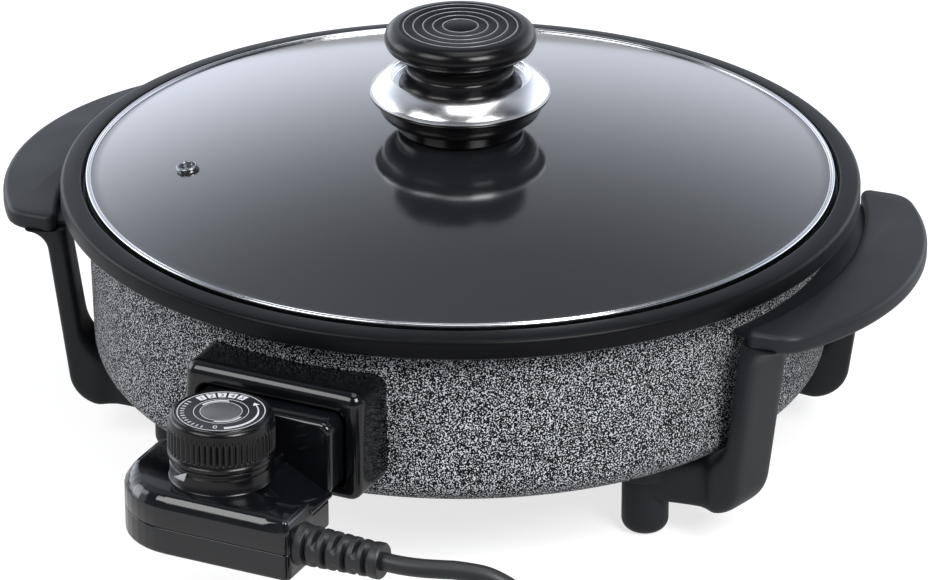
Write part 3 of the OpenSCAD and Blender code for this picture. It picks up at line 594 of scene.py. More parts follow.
def surround(azimuth):
    """White for the camera, an even light for matt surfaces and a backdrop for what glass and metal mirror.

    The backdrop darkens upwards and towards the camera, and is brighter to both sides than in the middle.
    """
    world = blank("surround", "worlds")
    where = add(world, "TexCoord").outputs["Generated"]
    height = add(world, "SeparateXYZ", {0: where}).outputs["Z"]
    away = (-math.sin(azimuth), math.cos(azimuth), 0.0)
    left = (-math.cos(azimuth), -math.sin(azimuth), 0.0)
    behind = add(world, "VectorMath", {0: where, 1: away}, operation="DOT_PRODUCT")
    sideways = add(world, "VectorMath", {0: where, 1: left}, operation="DOT_PRODUCT")
    fall = {"Value": height, "From Min": 0.1, "From Max": 0.74, "To Min": 1.75, "To Max": 0.34}
    fall = add(world, "MapRange", fall, interpolation_type="SMOOTHSTEP")
    depth = {"Value": behind, "From Min": -0.15, "From Max": 0.4, "To Min": 0.1, "To Max": 1.0}
    depth = add(world, "MapRange", depth, interpolation_type="SMOOTHSTEP")
    off = add(world, "Math", {0: sideways, 1: 0.1}, operation="ADD")
    off = add(world, "Math", {0: off, 1: 2.0}, operation="POWER")
    tilt = add(world, "MapRange", {"Value": off, "From Max": 0.25, "To Min": 0.68, "To Max": 1.75})
    shown = add(world, "Math", {0: fall, 1: depth}, operation="MULTIPLY")
    shown = add(world, "Math", {0: shown, 1: tilt}, operation="MULTIPLY")
    paths = add(world, "LightPath").outputs
    camera = paths["Is Camera Ray"]
    mirror = add(world, "Math", {0: paths["Is Glossy Ray"], 1: paths["Is Transmission Ray"]}, operation="MAXIMUM")
    level = add(world, "Mix", {0: mirror, 2: 0.3, 3: shown}, data_type="FLOAT")
    level = add(world, "Mix", {0: camera, 2: level, 3: 1.0}, data_type="FLOAT")
    tint = add(world, "Mix", {0: camera, 6: linear("#EDF3FF"), 7: linear("#FFFFFF")}, data_type="RGBA")
    add(world, "OutputWorld", {"Surface": add(world, "Background", {"Color": tint, "Strength": level})})
    return world


class COOKER_OT_stage(bpy.types.Operator):
    """Camera at the photograph's angle, a pale floor, soft boxes and a white surround"""

    bl_idname = "cooker.stage"
    bl_label = "Stage"

    def execute(self, context):
        scene = context.scene
        azimuth, elevation, distance = math.radians(21.5), math.radians(24.845), 2.6
        target = Vector((0.001711, 0.03883, 0.06937))
        level = math.cos(elevation)
        back = Vector((math.sin(azimuth) * level, -math.cos(azimuth) * level, math.sin(elevation)))
        lens = bpy.data.cameras.new("camera")
        lens.sensor_fit, lens.sensor_width, lens.lens = "HORIZONTAL", 36.0, 221.59
        lens.clip_start, lens.clip_end = 0.05, 60
        camera = bpy.data.objects.new("camera", lens)
        camera.location = target + distance * back
        camera.rotation_euler = (-back).to_track_quat("-Z", "Y").to_euler()
        scene.collection.objects.link(camera)
        scene.camera = camera
        scene.view_settings.view_transform = "Standard"

        floor = bpy.data.meshes.new("floor")
        span = 14.0 * np.array([[-1, -1, 0], [1, -1, 0], [1, 1, 0], [-1, 1, 0]])
        floor.from_pydata(span.tolist(), [], [[0, 1, 2, 3]])
        ground = bpy.data.objects.new("floor", floor)
        scene.collection.objects.link(ground)
        floor.materials.append(pale_floor(scene.cooker_colours))
        scene.world = surround(azimuth)

        for name, place, aim, width, height, watts in LAMPS:
            light = bpy.data.lights.new(name, "AREA")
            light.shape, light.size, light.size_y, light.energy = "RECTANGLE", width, height, watts
            lamp = bpy.data.objects.new(name, light)
            lamp.location = place
            lamp.rotation_euler = (Vector(aim) - Vector(place)).to_track_quat("-Z", "Y").to_euler()
            scene.collection.objects.link(lamp)
        return {"FINISHED"}


# Pieces


class COOKER_OT_cord(bpy.types.Operator):
    """Mains cord from the strain relief to its tied coil, with the tie and the plug"""

    bl_idname = "cooker.cord"
    bl_label = "Cord"

    def execute(self, context):
        sizes = context.scene.cooker_sizes
        rubber = ("extruded_rubber", "thermostat")
        route = [
            [80, -241.5, 62], [88, -241.5, 62], [97, -240, 62], [105, -237.5, 62], [112, -235, 61.8],
            [124, -231.5, 60], [135, -228, 53.5], [141, -226, 46.5], [145.5, -224.5, 38], [148, -224, 30],
            [152, -222.5, 21.5], [158.5, -220.5, 14], [169, -218, 8], [181, -216.5, 5.6],
        ]
        centre, coil, pitch, turns = np.array([190.0, -266.0, 5.5]), 50.0, 8.6, 4.5
        # The coil winds in for half its turns, climbs a layer over half a turn and winds out again
        t = np.linspace(0, turns, int(turns * 24) + 1)
        out = coil - pitch * np.minimum(t, turns - t)
        rise = pitch * np.clip(2 * (t - turns / 2) + 0.5, 0, 1)
        wound = centre + np.stack((out * np.sin(2 * np.pi * t), out * np.cos(2 * np.pi * t), rise), -1)
        plug_x, plug_y, plug_z = 130.0, -316.0, 18.0
        tail = [[172, plug_y, 15.1], [152, plug_y, 17.4], [138, plug_y, plug_z], [plug_x, plug_y, plug_z]]
        path = at_inlet(smooth_path(np.concatenate((route, wound, tail)), 2.5))
        sheath = tube(path, sizes.cord_width / MM / 2)
        flex = piece("mains_cord", [sheath], *rubber, ("cord", "cord_coil"), "black_rubber")

        # Strap of the tie: a thin band carried round a rounded rectangle that takes in the coil's turns
        room = 5.3
        inner, low = coil - pitch * turns / 2 - room, centre[2] - room
        loop = resample(box(inner, low, coil + room, centre[2] + pitch + room, 2.4, 6), 1.0)
        across = np.array([[0, -4.5], [0, 4.5], [0.35, 4.5], [0.85, 4.2], [0.85, -4.2], [0.35, -4.5]])
        rings = np.stack([inset(loop, d) for d in across[:, 0]])
        strap = np.stack((rings[..., 0], across[:, 1:] + 0 * rings[..., 0], rings[..., 1]), -1)
        strap = turned(strap, math.radians(200)) + centre * [1, 1, 0]
        tie = piece("cord_strap", [skin(strap, (True, True))], *rubber, ("cord_tie",), "black_rubber", at_inlet)

        # Plug: a turned body along X whose grip carries shallow flutes
        along = np.array([0, 0.6, 4, 9, 10, 14, 18, 21, 23, 24, 26, 38, 41, 42.6, 43.6, 44])
        wide = np.array([0, 6.6, 7, 7.8, 8, 10.2, 13.4, 15.4, 16.6, 17.1, 17.5, 17.5, 17.5, 17.2, 16.2, 0])
        fine = np.unique(np.concatenate((along, np.linspace(0, 44, 90))))
        wide = np.interp(fine, along, wide)
        angle = np.linspace(0, 2 * np.pi, 96, endpoint=False)
        flutes, deep, start, stop, fade = 16, 0.7, 24, 40, 3
        grip = np.clip((fine - start) / fade, 0, 1) * np.clip((stop - fine) / fade, 0, 1)
        reach = wide[:, None] - deep * grip[:, None] * (0.5 - 0.5 * np.cos(flutes * angle)) ** 2
        body = np.roll(swept(reach, -fine[:, None], angle), 1, -1) + [plug_x, plug_y, plug_z]
        plug = piece("mains_plug", [skin(body)], *rubber, ("plug_body",), "black_rubber", at_inlet)
        prong = chain((0, 0), (2.4, 0), (2.4, 16), arc(0.9, 17.5, 1.5, 0, 90, 5), (0, 19))
        face = plug_x - along[-1]
        pins = [
            moved(spin(prong, 32), lambda p, s=s: p[:, [2, 1, 0]] * [-1, 1, 1] + [face, plug_y + 9.5 * s, plug_z])
            for s in (-1, 1)
        ]
        pins = piece("plug_prongs", pins, "turned_brass", "thermostat", ("plug_pins",), "brass", at_inlet)
        return {"FINISHED"}


class COOKER_OT_pan(bpy.types.Operator):
    """Cast pan: one turned profile in three finishes, with the four bosses under it"""

    bl_idname = "cooker.pan"
    bl_label = "Pan"

    def execute(self, context):
        edge = context.scene.cooker_sizes.rim_edge / MM
        under = chain(
            (0, 75.5), (120, 75.5), arc(159.5, 72.5, 3, 90, 0, 4), arc(152.5, 56, 10, 0, -90, 8), (143.5, 46),
            arc(143.5, 45, 1, 90, 180, 3), arc(143.5, 43, 1, 180, 270, 3), (152.5, 42),
        )
        wall = chain(
            arc(152.5, 56, 14, -90, 0, 12), [[166.9, 73], [167.4, 93], [167.8, 110]], arc(169.2, 118.3, 1.2, 180, 90, 4)
        )
        rim = chain(
            (169.2, 119.5), (178.6, 119.5), arc(178.6, 120.9, 1.4, -90, 0, 4), arc(177.8, 126.5, 2.2, 0, 83, 8),
            arc(170.5 + edge, 129.5 - edge, edge, 90, 180, 4), arc(169.5, 126, 1, 0, -90, 3),
            arc(165, 124, 1, 90, 180, 3), (163.6, 110), arc(154.5, 87.5, 8, 0, -90, 8),
            [[120, 79.5], [60, 79.5], [0, 79.5]],
        )
        shells = [(*spin(p, 256), k) for k, p in enumerate((wall, rim, under))]
        points, faces = spin([[0, 42.0], [8.4, 42.0], [9, 42.6], [9, 76.5], [0, 76.5]], 48)
        shells += [(points + at_foot(x, y), faces, 2) for x in (-1, 1) for y in (-1, 1)]
        finish = "hammertone_paint nonstick_coat cast_aluminium"
        piece("cast_pan", shells, finish, "pan", ("pan_body",), "pan_coat", at_axis, 40)
        return {"FINISHED"}


class COOKER_OT_handles(bpy.types.Operator):
    """Two handles: a bowed grip plate on two legs that turn in under the pan to the feet"""

    bl_idname = "cooker.handles"
    bl_label = "Handles"

    def execute(self, context):
        sizes = context.scene.cooker_sizes
        edge, power = sizes.grip_edge / MM, 2 / sizes.leg_fullness
        # Grip: the bow's arc, two flat ends with round corners and the arc that follows the wall
        bow, wide, small, half, near, reach, low, high = 133.0, 15.0, 4.0, 83.0, 182.0, 214.0, 104.5, 113.0
        bow_x = reach - bow
        far = bow_x + math.sqrt((bow - wide) ** 2 - (half - wide) ** 2)
        inner_x = math.sqrt((near + small) ** 2 - (half - small) ** 2)
        swing = math.degrees(math.atan2(half - wide, far - bow_x))
        lean = math.degrees(math.atan2(half - small, inner_x))
        grip = chain(
            arc(bow_x, 0, bow, -swing, swing, 60),
            arc(far, half - wide, wide, swing, 90, 12)[1:],
            arc(inner_x, half - small, small, 90, 180 + lean, 12),
            arc(0, 0, near, lean, -lean, 60)[1:],
            arc(inner_x, small - half, small, 180 - lean, 270, 12)[1:],
            arc(far, wide - half, wide, 270, 360 - swing, 12)[:-1],
        )
        # Ledge: a thin sunken strip that joins the grip to its legs along the wall
        span = 24.3
        ledge = chain(arc(0, 0, near + 2, -span, span, 60), arc(0, 0, near - 12.4, span, -span, 60))
        shells = [slab(grip, low, high, edge, edge), slab(ledge, low, low + 3, 0.8, 0.8, 3)]
        # Leg: two curves in a radial plane, its outer and inner face, run side by side from the grip down,
        # round the knee and along the arm, and a rounded box is carried between them
        slope, thick, flare, knee_r, inner_r, knee_z, inner_z, end = 0.132, 10, 11, 16, 22.6, 33.5, 63, 124.0
        tilt, skew = math.degrees(math.atan(slope)), math.cos(math.atan(slope))

        def face(z):
            """How far out the leg's outer face lies at a level."""
            return 187 - slope * (low - z)

        top = arc(face(low - flare) + flare / skew, low - 10.5, flare, 92, 180 - tilt, 9)
        knee = arc(face(knee_z) - knee_r / skew, knee_z, knee_r, -tilt, -90, 12)
        inner_top = line((face(low + 1) - thick, low + 1), (face(low - flare) - thick, low - flare), 10)
        inner_knee = arc(face(inner_z) - thick - inner_r / skew, inner_z, inner_r, -tilt, -90, 12)
        outer, inner = (
            chain(start, line(start[-1], bend[0], 14)[1:-1], bend, line(bend[-1], (end, level), 10)[1:])
            for start, bend, level in ((top, knee, 17.5), (inner_top, inner_knee, 36.0))
        )
        angle = np.linspace(0, 2 * np.pi, 48, endpoint=False)
        share = 0.5 + 0.5 * np.sign(np.cos(angle)) * np.abs(np.cos(angle)) ** power
        across = np.sign(np.sin(angle)) * np.abs(np.sin(angle)) ** power
        flat = inner[:, None] + share[:, None] * (outer - inner)[:, None]
        out, level = flat[..., 0], flat[..., 1]
        arm = np.clip((164 - out) / 12, 0, 1)
        width = 13 - 4 * arm * arm * (3 - 2 * arm)
        # Past the corner the arm leaves the radial plane and heads for the foot, over a soft bend
        corner, bend = 158, 14
        root = np.sqrt((corner - out) ** 2 + bend**2)
        past = 0.5 * (corner - out + root)[..., None]
        blend = (0.5 + 0.5 * (corner - out) / root)[..., None]
        for s in (-1, 1):
            turn = math.radians(22) * s
            radial, aside = np.array([math.cos(turn), math.sin(turn)]), np.array([-math.sin(turn), math.cos(turn)])
            foot = at_foot(1, s)[:2]
            inward = foot - corner * radial
            inward /= np.linalg.norm(inward)
            side = (1 - blend) * aside + blend * np.array([inward[1], -inward[0]])
            side /= np.linalg.norm(side, axis=-1, keepdims=True)
            plan = (out[..., None] + past) * radial + past * inward + (across * width)[..., None] * side
            shells.append(skin(np.concatenate((plan, level[..., None]), -1), caps=True))
            shells.append(slab(arc(*foot, 14, 0, 360, 48)[:-1], 28, 42, 1.2, 0.6, 3))
        left = [(p * np.array([-1, 1, 1]), f) for p, f in shells]
        for name, group in (("right", shells), ("left", left)):
            piece(name + "_handle", group, "matt_phenolic", "pan", ("handle_" + name,), "matte_black", at_axis)
        return {"FINISHED"}


class COOKER_OT_feet(bpy.types.Operator):
    """Four round foot posts"""

    bl_idname = "cooker.feet"
    bl_label = "Feet"

    def execute(self, context):
        profile = chain(
            (0, 0), arc(4.5, 6, 6, -90, 0, 8), (10.5, 30), (10.5, 36.6), arc(9.3, 36.8, 1.2, 0, 90, 4), (0, 38)
        )
        points, faces = spin(profile, 64)
        for name, x, y in CORNERS:
            post = [(points + at_foot(x, y), faces)]
            piece(name + "_foot", post, "matt_phenolic", "pan", ("foot_" + name,), "matte_black", at_axis)
        return {"FINISHED"}


class COOKER_OT_inlet(bpy.types.Operator):
    """Glossy shroud round the inlet: a frame that meets the wall, with the floor of its recess"""

    bl_idname = "cooker.inlet"
    bl_label = "Inlet shroud"

    def execute(self, context):
        def wall(outline):
            """Where the pan's wall lies for points (x, z): minus the root of its radius squared less x squared."""
            radius = 166.5 + 1.5 * np.clip((outline[:, 1] - 56) / 63.5, 0, 1)
            return -np.sqrt(radius**2 - outline[:, 0] ** 2)

        # A rounded rectangle is carried from the wall to the front, rolls over into the opening and runs back
        outer = dense(box(-42.5, 56, 42.5, 106, 6), 12)
        inner = dense(box(-35.5, 60.5, 35.5, 97.5, 5.5), 12)
        front, back, lap = -188.0, -174.0, 0.8
        even = np.ones(len(inner))
        t = np.radians(np.linspace(0, 90, 9))
        rise = np.clip((outer[:, 1] - 58) / 40, 0, 1)
        edge = 3.0 + 3.0 * rise * rise
        rows = [np.c_[outer, wall(outer) + lap], np.c_[outer, np.minimum(wall(outer) - 0.2, front + 7)]]
        rows += [np.c_[inset(outer, edge * (1 - np.cos(a))), front + edge * (1 - np.sin(a))] for a in t]
        rows += [np.c_[inset(inner, np.sin(a) - 1), (front + 1 - np.cos(a)) * even] for a in t[::2]]
        rows += [np.c_[inner, back * even], np.c_[inner, wall(inner) + lap]]
        ring = skin(np.stack(rows)[..., [0, 2, 1]], (True, True))
        plate = moved(slab(inset(inner, -1.0), back, back + 5, 0.2, 0.2, 2), upright)
        shroud = ("glossy_shroud", [ring, plate], "gloss_phenolic", "pan", ("inlet_shroud",), "gloss_black")
        cut(piece(*shroud, at_inlet), [rod((0, 70.5), 4, back - 2, back + 14, 1)], at_inlet)
        return {"FINISHED"}


class COOKER_OT_lid(bpy.types.Operator):
    """Domed glass, its rolled steel band and the steam eyelet"""

    bl_idname = "cooker.lid"
    bl_label = "Lid"

    def execute(self, context):
        # Glass: a cap of a ball that rises over its edge, with a flat margin under the band
        edge, top, rise, thick, bore = 164.9, 130.1, 20.0, 4.0, 3.5
        ball = (edge * edge + rise * rise) / (2 * rise)
        centre = top + rise - ball
        out = np.linspace(bore, edge, 56)
        back = np.linspace(edge - 1.2, bore, 56)
        profile = chain(
            np.stack((out, centre + np.sqrt(ball**2 - out**2)), -1),
            [[167.6, top], [167.6, 126.15], [164.2, 126.15]],
            np.stack((back, centre + np.sqrt((ball - thick) ** 2 - back**2)), -1),
        )
        dome = [spin(profile, 240, True)]
        glass = piece("domed_glass", dome, "tinted_glass", "lid", ("lid_glass",), "smoked_glass", at_axis, 20)
        # Band: a channel with a rolled outer shoulder, a sunk flat and a thin raised lip on the glass
        band = chain(
            (edge, 125.3), arc(166.9, 126.9, 1.6, -90, 0, 6), arc(167.7, top, 0.8, 0, 110, 6),
            [[167.2, 130.5], [167.0, 130.35], [166.75, 130.35]], arc(166.45, 130.45, 0.3, 10, 180, 5),
            [[166.1, 130.15], [167.65, 130.15], [167.65, 126.1], [edge, 126.1]],
        )
        band = [spin(band, 320, True)]
        piece("rolled_band", band, "rolled_steel", "lid", ("lid_band",), "bright_steel", at_axis, 50)
        # Eyelet: a ring set square to the dome, whose bead stands on a short neck round a countersunk bore
        ring = chain(
            [[2.15, -4.7], [5.2, -4.7], [5.2, -4.0], [3.1, -4.0], [3.1, 0.0], [4.5, 0.0], [4.5, 0.5]],
            arc(4.6, 1.3, 0.6, -70, 90, 8), arc(4.0, 1.5, 0.4, 90, 180, 4), [[3.3, 0.2], [2.15, -2.6]],
        )
        turn, tip = math.radians(211.5), math.asin(123.5 / ball)

        def at_vent(p):
            """Points on the dome's top, tipped out along it and turned about the axis to the eyelet's place."""
            x = p[:, 0] * math.cos(tip) + (p[:, 2] + ball) * math.sin(tip)
            z = (p[:, 2] + ball) * math.cos(tip) - p[:, 0] * math.sin(tip)
            return at_axis(turned(np.stack((x, p[:, 1], z + centre), -1), turn))

        ring = [spin(ring, 48, True)]
        piece("steam_eyelet", ring, "pressed_steel", "lid", ("vent_eyelet",), "bright_steel", at_vent, 50)
        cut(glass, [rod((0, 0), 3.1, -8, 4, 2, 48)], at_vent, 20)
        return {"FINISHED"}


class COOKER_OT_knob(bpy.types.Operator):
    """Knob: black bowl on a low tier, chrome ring and a grooved cap on a waist, all turned about the lid's axis"""

    bl_idname = "cooker.knob"
    bl_label = "Knob"

    def execute(self, context):
        bowl = chain(
            (0, 151.2), (27.3, 151), arc(27.7, 151.8, 0.8, -90, 0, 3), (28.5, 155.8), arc(29.7, 155.8, 1.2, 180, 90, 4),
            (31.2, 157), arc(31.5, 162, 5, -90, 0, 10), (36.6, 164.6), arc(38.2, 164.6, 1.6, 180, 110, 5),
            arc(39.8, 166.5, 0.4, -60, 90, 4), (36.4, 166.95), (36.4, 169.6),
            arc(35.7, 169.8, 0.7, 0, 90, 4), (0, 170.5),
        )
        piece("knob_bowl", [spin(bowl, 160)], "knob_phenolic", "lid", ("knob_base",), "gloss_black", at_axis)
        # Ring: its section rises from the floor to a crest, falls outwards in one broad swell and ends in a small bead
        ring = chain(
            [[18, 170.6], [36.7, 170.6], [36.7, 167.1]], arc(39.6, 168, 0.85, -90, 30, 7),
            arc(22.65, 156.15, 22, 37, 65, 16), arc(31.9, 175.2, 1, 100, 180, 5), (30.9, 172.6),
            arc(29.9, 172.6, 1, 0, -90, 4), (18, 171.6),
        )
        ring = [spin(ring, 220, True)]
        piece("chrome_ring", ring, "chrome_plate", "lid", ("knob_dish",), "chrome", at_axis, 40)
        first, step, wide, deep, top = 7.9, 4.4, 0.3, 0.4, 199.2
        # The lip is how far a groove's edge is broken, outwards and down
        lip, down, floor = 0.15, 0.06, 0.12
        side = chain(
            [
                [0, 171.75], [27.6, 171.75], [26.4, 172.4], [25.3, 173.6], [24.6, 175.4], [24.2, 178.6], [23.7, 179.1],
                [23.5, 179.6], [23.4, 181.5], [23.7, 183.8], [24.6, 185.8], [26.0, 187.1], [28.0, 187.6], [28.3, 187.7],
            ],
            arc(28.25, 193.45, 5.75, -86, 74, 20), (28.4, 199.05), (27.4, top),
        )
        runs = [(side, 0)]
        edge = side[-1]
        # Each groove is a shallow vee whose flanks are painted pale grey: a painted highlight
        for r in first + step * np.arange(4, -1, -1):
            runs.append((chain(edge, (r + wide + lip, top), (r + wide, top - down)), 2))
            edge = np.array([r - wide, top - down])
            runs.append((chain(runs[-1][0][-1], (r + floor, top - deep), (r - floor, top - deep), edge), 1))
        runs.append((chain(edge, (edge[0] - lip, top), (0, top)), 2))
        shells = [(*spin(run, 200), k) for run, k in runs]
        # The second finish is the painted highlight on the groove flanks
        finish = "knob_phenolic buffed_groove turned_phenolic"
        piece("knob_grip", shells, finish, "lid", ("knob_cap",), "gloss_black", at_axis)
        return {"FINISHED"}


class COOKER_OT_thermostat(bpy.types.Operator):
    """Thermostat: two moulded shells, the plug-in nose and the web beside it, and the strain relief"""

    bl_idname = "cooker.thermostat"
    bl_label = "Thermostat shells"

    def execute(self, context):
        sizes = context.scene.cooker_sizes
        edge, seam = sizes.shell_edge / MM, sizes.parting / MM / 2
        black = ("satin_phenolic", "thermostat")
        upper = fillet(
            [[-48, -254], [42, -254], [42, -229], [13, -229], [13, -192], [-30, -192], [-30, -199], [-48, -199]],
            [31, 3.3, 3.3, 9, 5.4, 5.4, 0.3, 7],
            10,
        )
        lower = fillet(
            [[-48, -254], [42, -254], [42, -229], [34, -229], [34, -199], [-48, -199]], [31, 3.3, 2.5, 1.5, 2.5, 7], 10
        )
        # The upper shell's wall runs into a narrow facet, which carries one long light, and a wide roll above it
        foot = np.array([[0.4, 0], [0.1, 0.1], [0, 0.4]]) + [0, PARTING_Z + seam]
        roll = np.array(
            [
                [0, 1.0], [0.01, 0.92], [0.03, 0.84], [0.25, 0.5], [0.36, 0.34],
                [0.52, 0.18], [0.7, 0.07], [0.88, 0.02], [1.03, 0],
            ]
        )
        rows = np.concatenate((foot, roll * [edge, -edge] + [0, SHELL_TOP]))
        upper = resample(upper, 0.8)
        # The roll narrows towards the sharper corners at the cord's end
        share = 1 - 0.55 * np.clip((upper[:, 0] - 30) / 9, 0, 1)
        top = skin(layers(upper, rows[:, :1] * share, rows[:, 1]), caps=True)
        # Nose: an upright rounded rectangle carried along Y
        nose = moved(slab(box(-34, 62, 34, 96, 5), -199, -178, 2.2, 1.2, 6), upright)
        # Web: a sloping wedge from the neck to the nose
        web = fillet([[9, 61.7], [34, 61.7], [34, 63.6], [13, 74.5], [9, 74.5]], [0.3, 0.6, 1.2, 1.5, 0.3], 5)
        web = moved(slab(web, -229, -197.5, 1.0, 0.2, 3), upright)
        shell = piece("upper_shell", [top, nose, web], *black, ("upper_housing",), "gloss_black", at_inlet)
        cut(shell, [rod((x, 70.5), 4.55, -192.2, -177, 1) for x in (-17, 17)], at_inlet)
        low = [slab(resample(lower, 0.8), 49, PARTING_Z - seam, 1.8, 0.4, 8)]
        shell = piece("lower_shell", low, *black, ("lower_housing",), "gloss_black", at_inlet)
        cut(shell, [rod(p, 3.05, 47, 51) for p in ((-37, -226), (27, -234.5))], at_inlet)

        # Strain relief: a tapered sleeve along X whose slots open by turns at its top and bottom and at its sides
        along = np.linspace(0, 38, 153)
        angle = np.linspace(0, 2 * np.pi, 72, endpoint=False)
        wide = np.interp(along, [0, 2, 33.6, 34.4, 37.2, 38], [9.4, 8.9, 7.7, 7.9, 7.9, 7.3])
        slots, first, pitch, half, deep = 7, 4.5, 4.6, 0.95, 2.9
        near = np.clip(1.5 - np.abs(along[:, None] - (first + pitch * np.arange(slots))) / half, 0, 1)
        near = near * near * (3 - 2 * near)
        facing = [np.abs(np.sin(angle) if k % 2 else np.cos(angle)) for k in range(slots)]
        reach = wide[:, None] - deep * (near @ np.clip(1.9 * np.stack(facing) - 0.55, 0, 1))
        body = np.roll(swept(reach, along[:, None], angle), 1, -1) + [42, -241.5, 62]
        sleeve = ("strain_sleeve", [skin(body, caps=True)], "extruded_rubber", "thermostat", ("strain_relief",))
        piece(*sleeve, "black_rubber", at_inlet, 45)
        return {"FINISHED"}


def numeral(text, height, radius, place, level):
    """One number as a thin plate: its outline is centred, turned to read from the rim and set out from the axis."""
    curve = bpy.data.curves.new("numeral", "FONT")
    curve.body, curve.size, curve.extrude = text, height * 1.35, 0.04
    curve.align_x, curve.align_y = "CENTER", "CENTER"
    holder = bpy.data.objects.new("numeral", curve)
    bpy.context.scene.collection.objects.link(holder)
    bpy.context.view_layer.update()
    mesh = bpy.data.meshes.new_from_object(holder.evaluated_get(bpy.context.evaluated_depsgraph_get()))
    points = np.empty(len(mesh.vertices) * 3)
    mesh.vertices.foreach_get("co", points)
    faces = [list(face.vertices) for face in mesh.polygons]
    bpy.data.objects.remove(holder)
    bpy.data.curves.remove(curve)
    bpy.data.meshes.remove(mesh)
    points = points.reshape(-1, 3)
    points[:, :2] -= (points[:, :2].min(0) + points[:, :2].max(0)) / 2
    turn = math.radians(place)
    shift = [radius * math.cos(turn), radius * math.sin(turn), level - 0.04]
    return turned(points, turn - math.pi / 2) + shift, faces


class COOKER_OT_dial(bpy.types.Operator):
    """Ribbed dial with its printed face, and the collar with its pointer"""

    bl_idname = "cooker.dial"
    bl_label = "Dial"

    def execute(self, context):
        sizes = context.scene.cooker_sizes
        depth, ribs = sizes.rib_depth / MM, sizes.ribs

        def at_dial(p):
            """Points about the dial's axis, put where that axis stands in the inlet's frame."""
            return at_inlet(p + np.array([-5, -223, 0]))

        collar = chain(
            [[3.05, SHELL_TOP], [22.7, SHELL_TOP]],
            [[22.2, 77.1], [22.2, 82.8], [21.5, 83.4], [21.5, 84.2], [22.2, 84.8]],
            arc(21.7, 85.5, 0.5, 0, 90, 4), (3.05, 86),
        )
        collar = [spin(collar, 128, True)]
        piece("dial_ring", collar, "satin_abs", "thermostat", ("dial_collar",), "gloss_black", at_dial, 40)
        # Dial: a turned skirt, a ribbed band and a round shoulder; the ribs fade out above and below
        profile = chain(
            (3.0, 0), (22.3, 0), arc(22.3, 0.7, 0.7, -90, 0, 4), [[23.0, 2.0], [22.4, 2.7], [22.3, 3.4], [22.9, 3.9]],
            line((23.0, 4.2), (23.0, 13.2), 12), [[22.7, 14.2], [22.3, 15.6]], arc(19.9, 16.7, 2.3, 5, 80, 8),
            [[20.0, 19.4], [19.75, 19.5], [19.65, 19.2], [19.6, 18.62], [3.0, 18.62]],
        )
        out, height = profile[:, :1], profile[:, 1:]
        band = np.clip((height - 3.8) / 0.6, 0, 1) * np.clip((14.2 - height) / 0.8, 0, 1) * (out > 20)
        angle = np.linspace(0, 2 * np.pi, ribs * 10, endpoint=False)
        radius = out - depth * band * (1 - np.sqrt(0.5 - 0.5 * np.cos(ribs * angle)))
        dial = [skin(swept(radius, height + 86.3, angle), (True, True))]
        piece("ribbed_dial", dial, "satin_abs", "dial", ("temperature_dial",), "dial_black", at_dial, 40)
        face = np.array(
            [
                [0, 104.9], [19.5, 104.9], [19.5, 105.3], [19.4, 105.4],
                [8.6, 105.4], [8.4, 105.42], [8.3, 105.5], [0, 105.5],
            ]
        )
        shells = [(*spin(face[:6], 96), 0), (*spin(face[4:], 96), 1)]
        print_on = ("printed_foil satin_disc", "dial", ("dial_plate",), "dial_face")
        piece("printed_face", shells, *print_on, at_dial, 40)
        # Printed marks: rings, a widening arc with its head, short ticks and light boxes that carry plain numbers
        lo, hi = 105.38, 105.46
        head, ends = np.radians([47, 56, 47]), np.array([14.2, 15.8, 17.2])
        # Each band: inner and outer radius, first and last angle, and steps
        bands = [
            (18.35, 18.7, 0, 360, 96), (8.75, 9.0, 0, 360, 72), (11.5, 11.75, 0, 360, 80), (9.6, 10.5, -80, -8, 24),
            (9.6, 10.5, 98, 168, 24), (15.4, 15.4 + np.linspace(1.7, 0.4, 41), -58, 47, 40),
        ]
        places = np.linspace(82, 150, 5)
        bands += [(13.4, 17.4, a - 6.6, a + 6.6, 8) for a in places]
        bands += [(15.6, 17.4, a - 0.9, a + 0.9, 2) for a in np.linspace(172, 268, 13)]
        marks = [sector(*edges, lo, hi, steps) for *edges, steps in bands]
        marks.insert(6, slab(np.stack((ends * np.cos(head), ends * np.sin(head)), -1), lo, hi, 0.01, 0.01, 1))
        marks += [(*numeral(n, 2.9, 15.4, place, hi + 0.05), 1) for n, place in zip("54321", places)]
        marks.append(numeral("0", 3.0, 15.2, 288, hi))
        piece("printed_marks", marks, "screen_ink printed_foil", "dial", (), "dial_face", at_dial, 40)
        # Pointer: a small raised triangle wrapped on the collar's side, as angles and levels
        corners = np.array([[231.3, 79.6], [251.6, 80.4], [256.2, 85.0]])
        middle = corners.mean(0)
        edge = np.concatenate([line(a, b, 9)[:-1] for a, b in zip(corners, np.roll(corners, -1, 0))])
        share = np.array([0, 1, 1, 0.94, 0.66, 0.33, 0])[:, None, None]
        height = np.array([22.0, 22.0, 22.25, 22.34, 22.34, 22.34, 22.34])[:, None]
        flat = middle + share * (edge - middle)
        pointer = [skin(swept(height, flat[..., 1], np.radians(flat[..., 0])))]
        piece("dial_pointer", pointer, "screen_ink", "thermostat", (), "gloss_black", at_dial, 60)
        return {"FINISHED"}


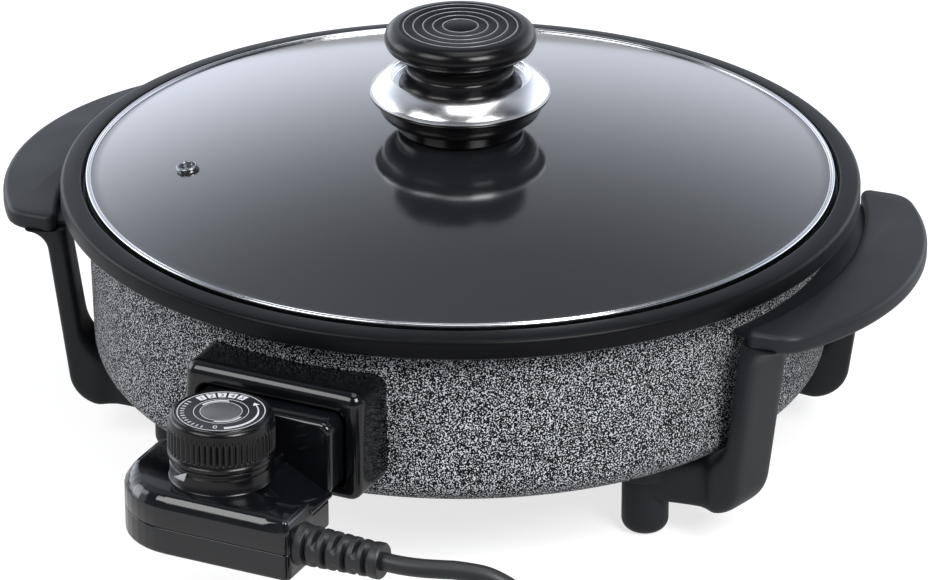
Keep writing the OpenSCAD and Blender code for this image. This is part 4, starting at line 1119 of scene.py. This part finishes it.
class COOKER_OT_hardware(bpy.types.Operator):
    """Finishes for the solids that stay as they are: terminals, element, screws and inner pieces"""

    bl_idname = "cooker.hardware"
    bl_label = "Hardware"

    def execute(self, context):
        made = finishes()
        kept = {
            "plain_steel": (
                "heating_element", "terminal_pins", "probe_guide", "shroud_screws", "foot_studs",
                "knob_screw", "knob_washer", "housing_screws", "sensor_probe", "dial_shaft",
            ),
            "turned_brass": ("knob_insert", "contact_sleeves"),
            "unglazed_ceramic": ("terminal_bushings",),
            "extruded_rubber": ("knob_gasket",),
            "moulded_switch": ("thermostat_switch",),
        }
        for finish, names in kept.items():
            for name in names:
                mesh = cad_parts[name].data
                mesh.materials.clear()
                mesh.materials.append(made[finish])
        return {"FINISHED"}


class COOKER_PT_panel(bpy.types.Panel):
    """Sizes, colours and pieces of the multicooker"""

    bl_label = "Multicooker"
    bl_idname = "COOKER_PT_panel"
    bl_space_type = "VIEW_3D"
    bl_region_type = "UI"
    bl_category = "Multicooker"

    def draw(self, context):
        for group in (context.scene.cooker_sizes, context.scene.cooker_colours):
            fields = self.layout.box()
            for name in group.bl_rna.properties.keys():
                if name not in ("rna_type", "name"):
                    fields.prop(group, name)
        for operator in OPERATORS:
            self.layout.operator(operator.bl_idname)


OPERATORS = (
    COOKER_OT_stage,
    COOKER_OT_cord,
    COOKER_OT_pan,
    COOKER_OT_handles,
    COOKER_OT_feet,
    COOKER_OT_inlet,
    COOKER_OT_lid,
    COOKER_OT_knob,
    COOKER_OT_thermostat,
    COOKER_OT_dial,
    COOKER_OT_hardware,
)
CLASSES = (CookerSizes, CookerColours, *OPERATORS, COOKER_PT_panel)


def register():
    for item in CLASSES:
        bpy.utils.register_class(item)
    bpy.types.Scene.cooker_sizes = bpy.props.PointerProperty(type=CookerSizes)
    bpy.types.Scene.cooker_colours = bpy.props.PointerProperty(type=CookerColours)


def unregister():
    del bpy.types.Scene.cooker_colours
    del bpy.types.Scene.cooker_sizes
    for item in reversed(CLASSES):
        bpy.utils.unregister_class(item)


def main():
    """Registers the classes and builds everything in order."""
    register()
    bpy.ops.cooker.stage()
    bpy.ops.cooker.cord()
    bpy.ops.cooker.pan()
    bpy.ops.cooker.handles()
    bpy.ops.cooker.feet()
    bpy.ops.cooker.inlet()
    bpy.ops.cooker.lid()
    bpy.ops.cooker.knob()
    bpy.ops.cooker.thermostat()
    bpy.ops.cooker.dial()
    bpy.ops.cooker.hardware()


if __name__ == "__main__":
    main()
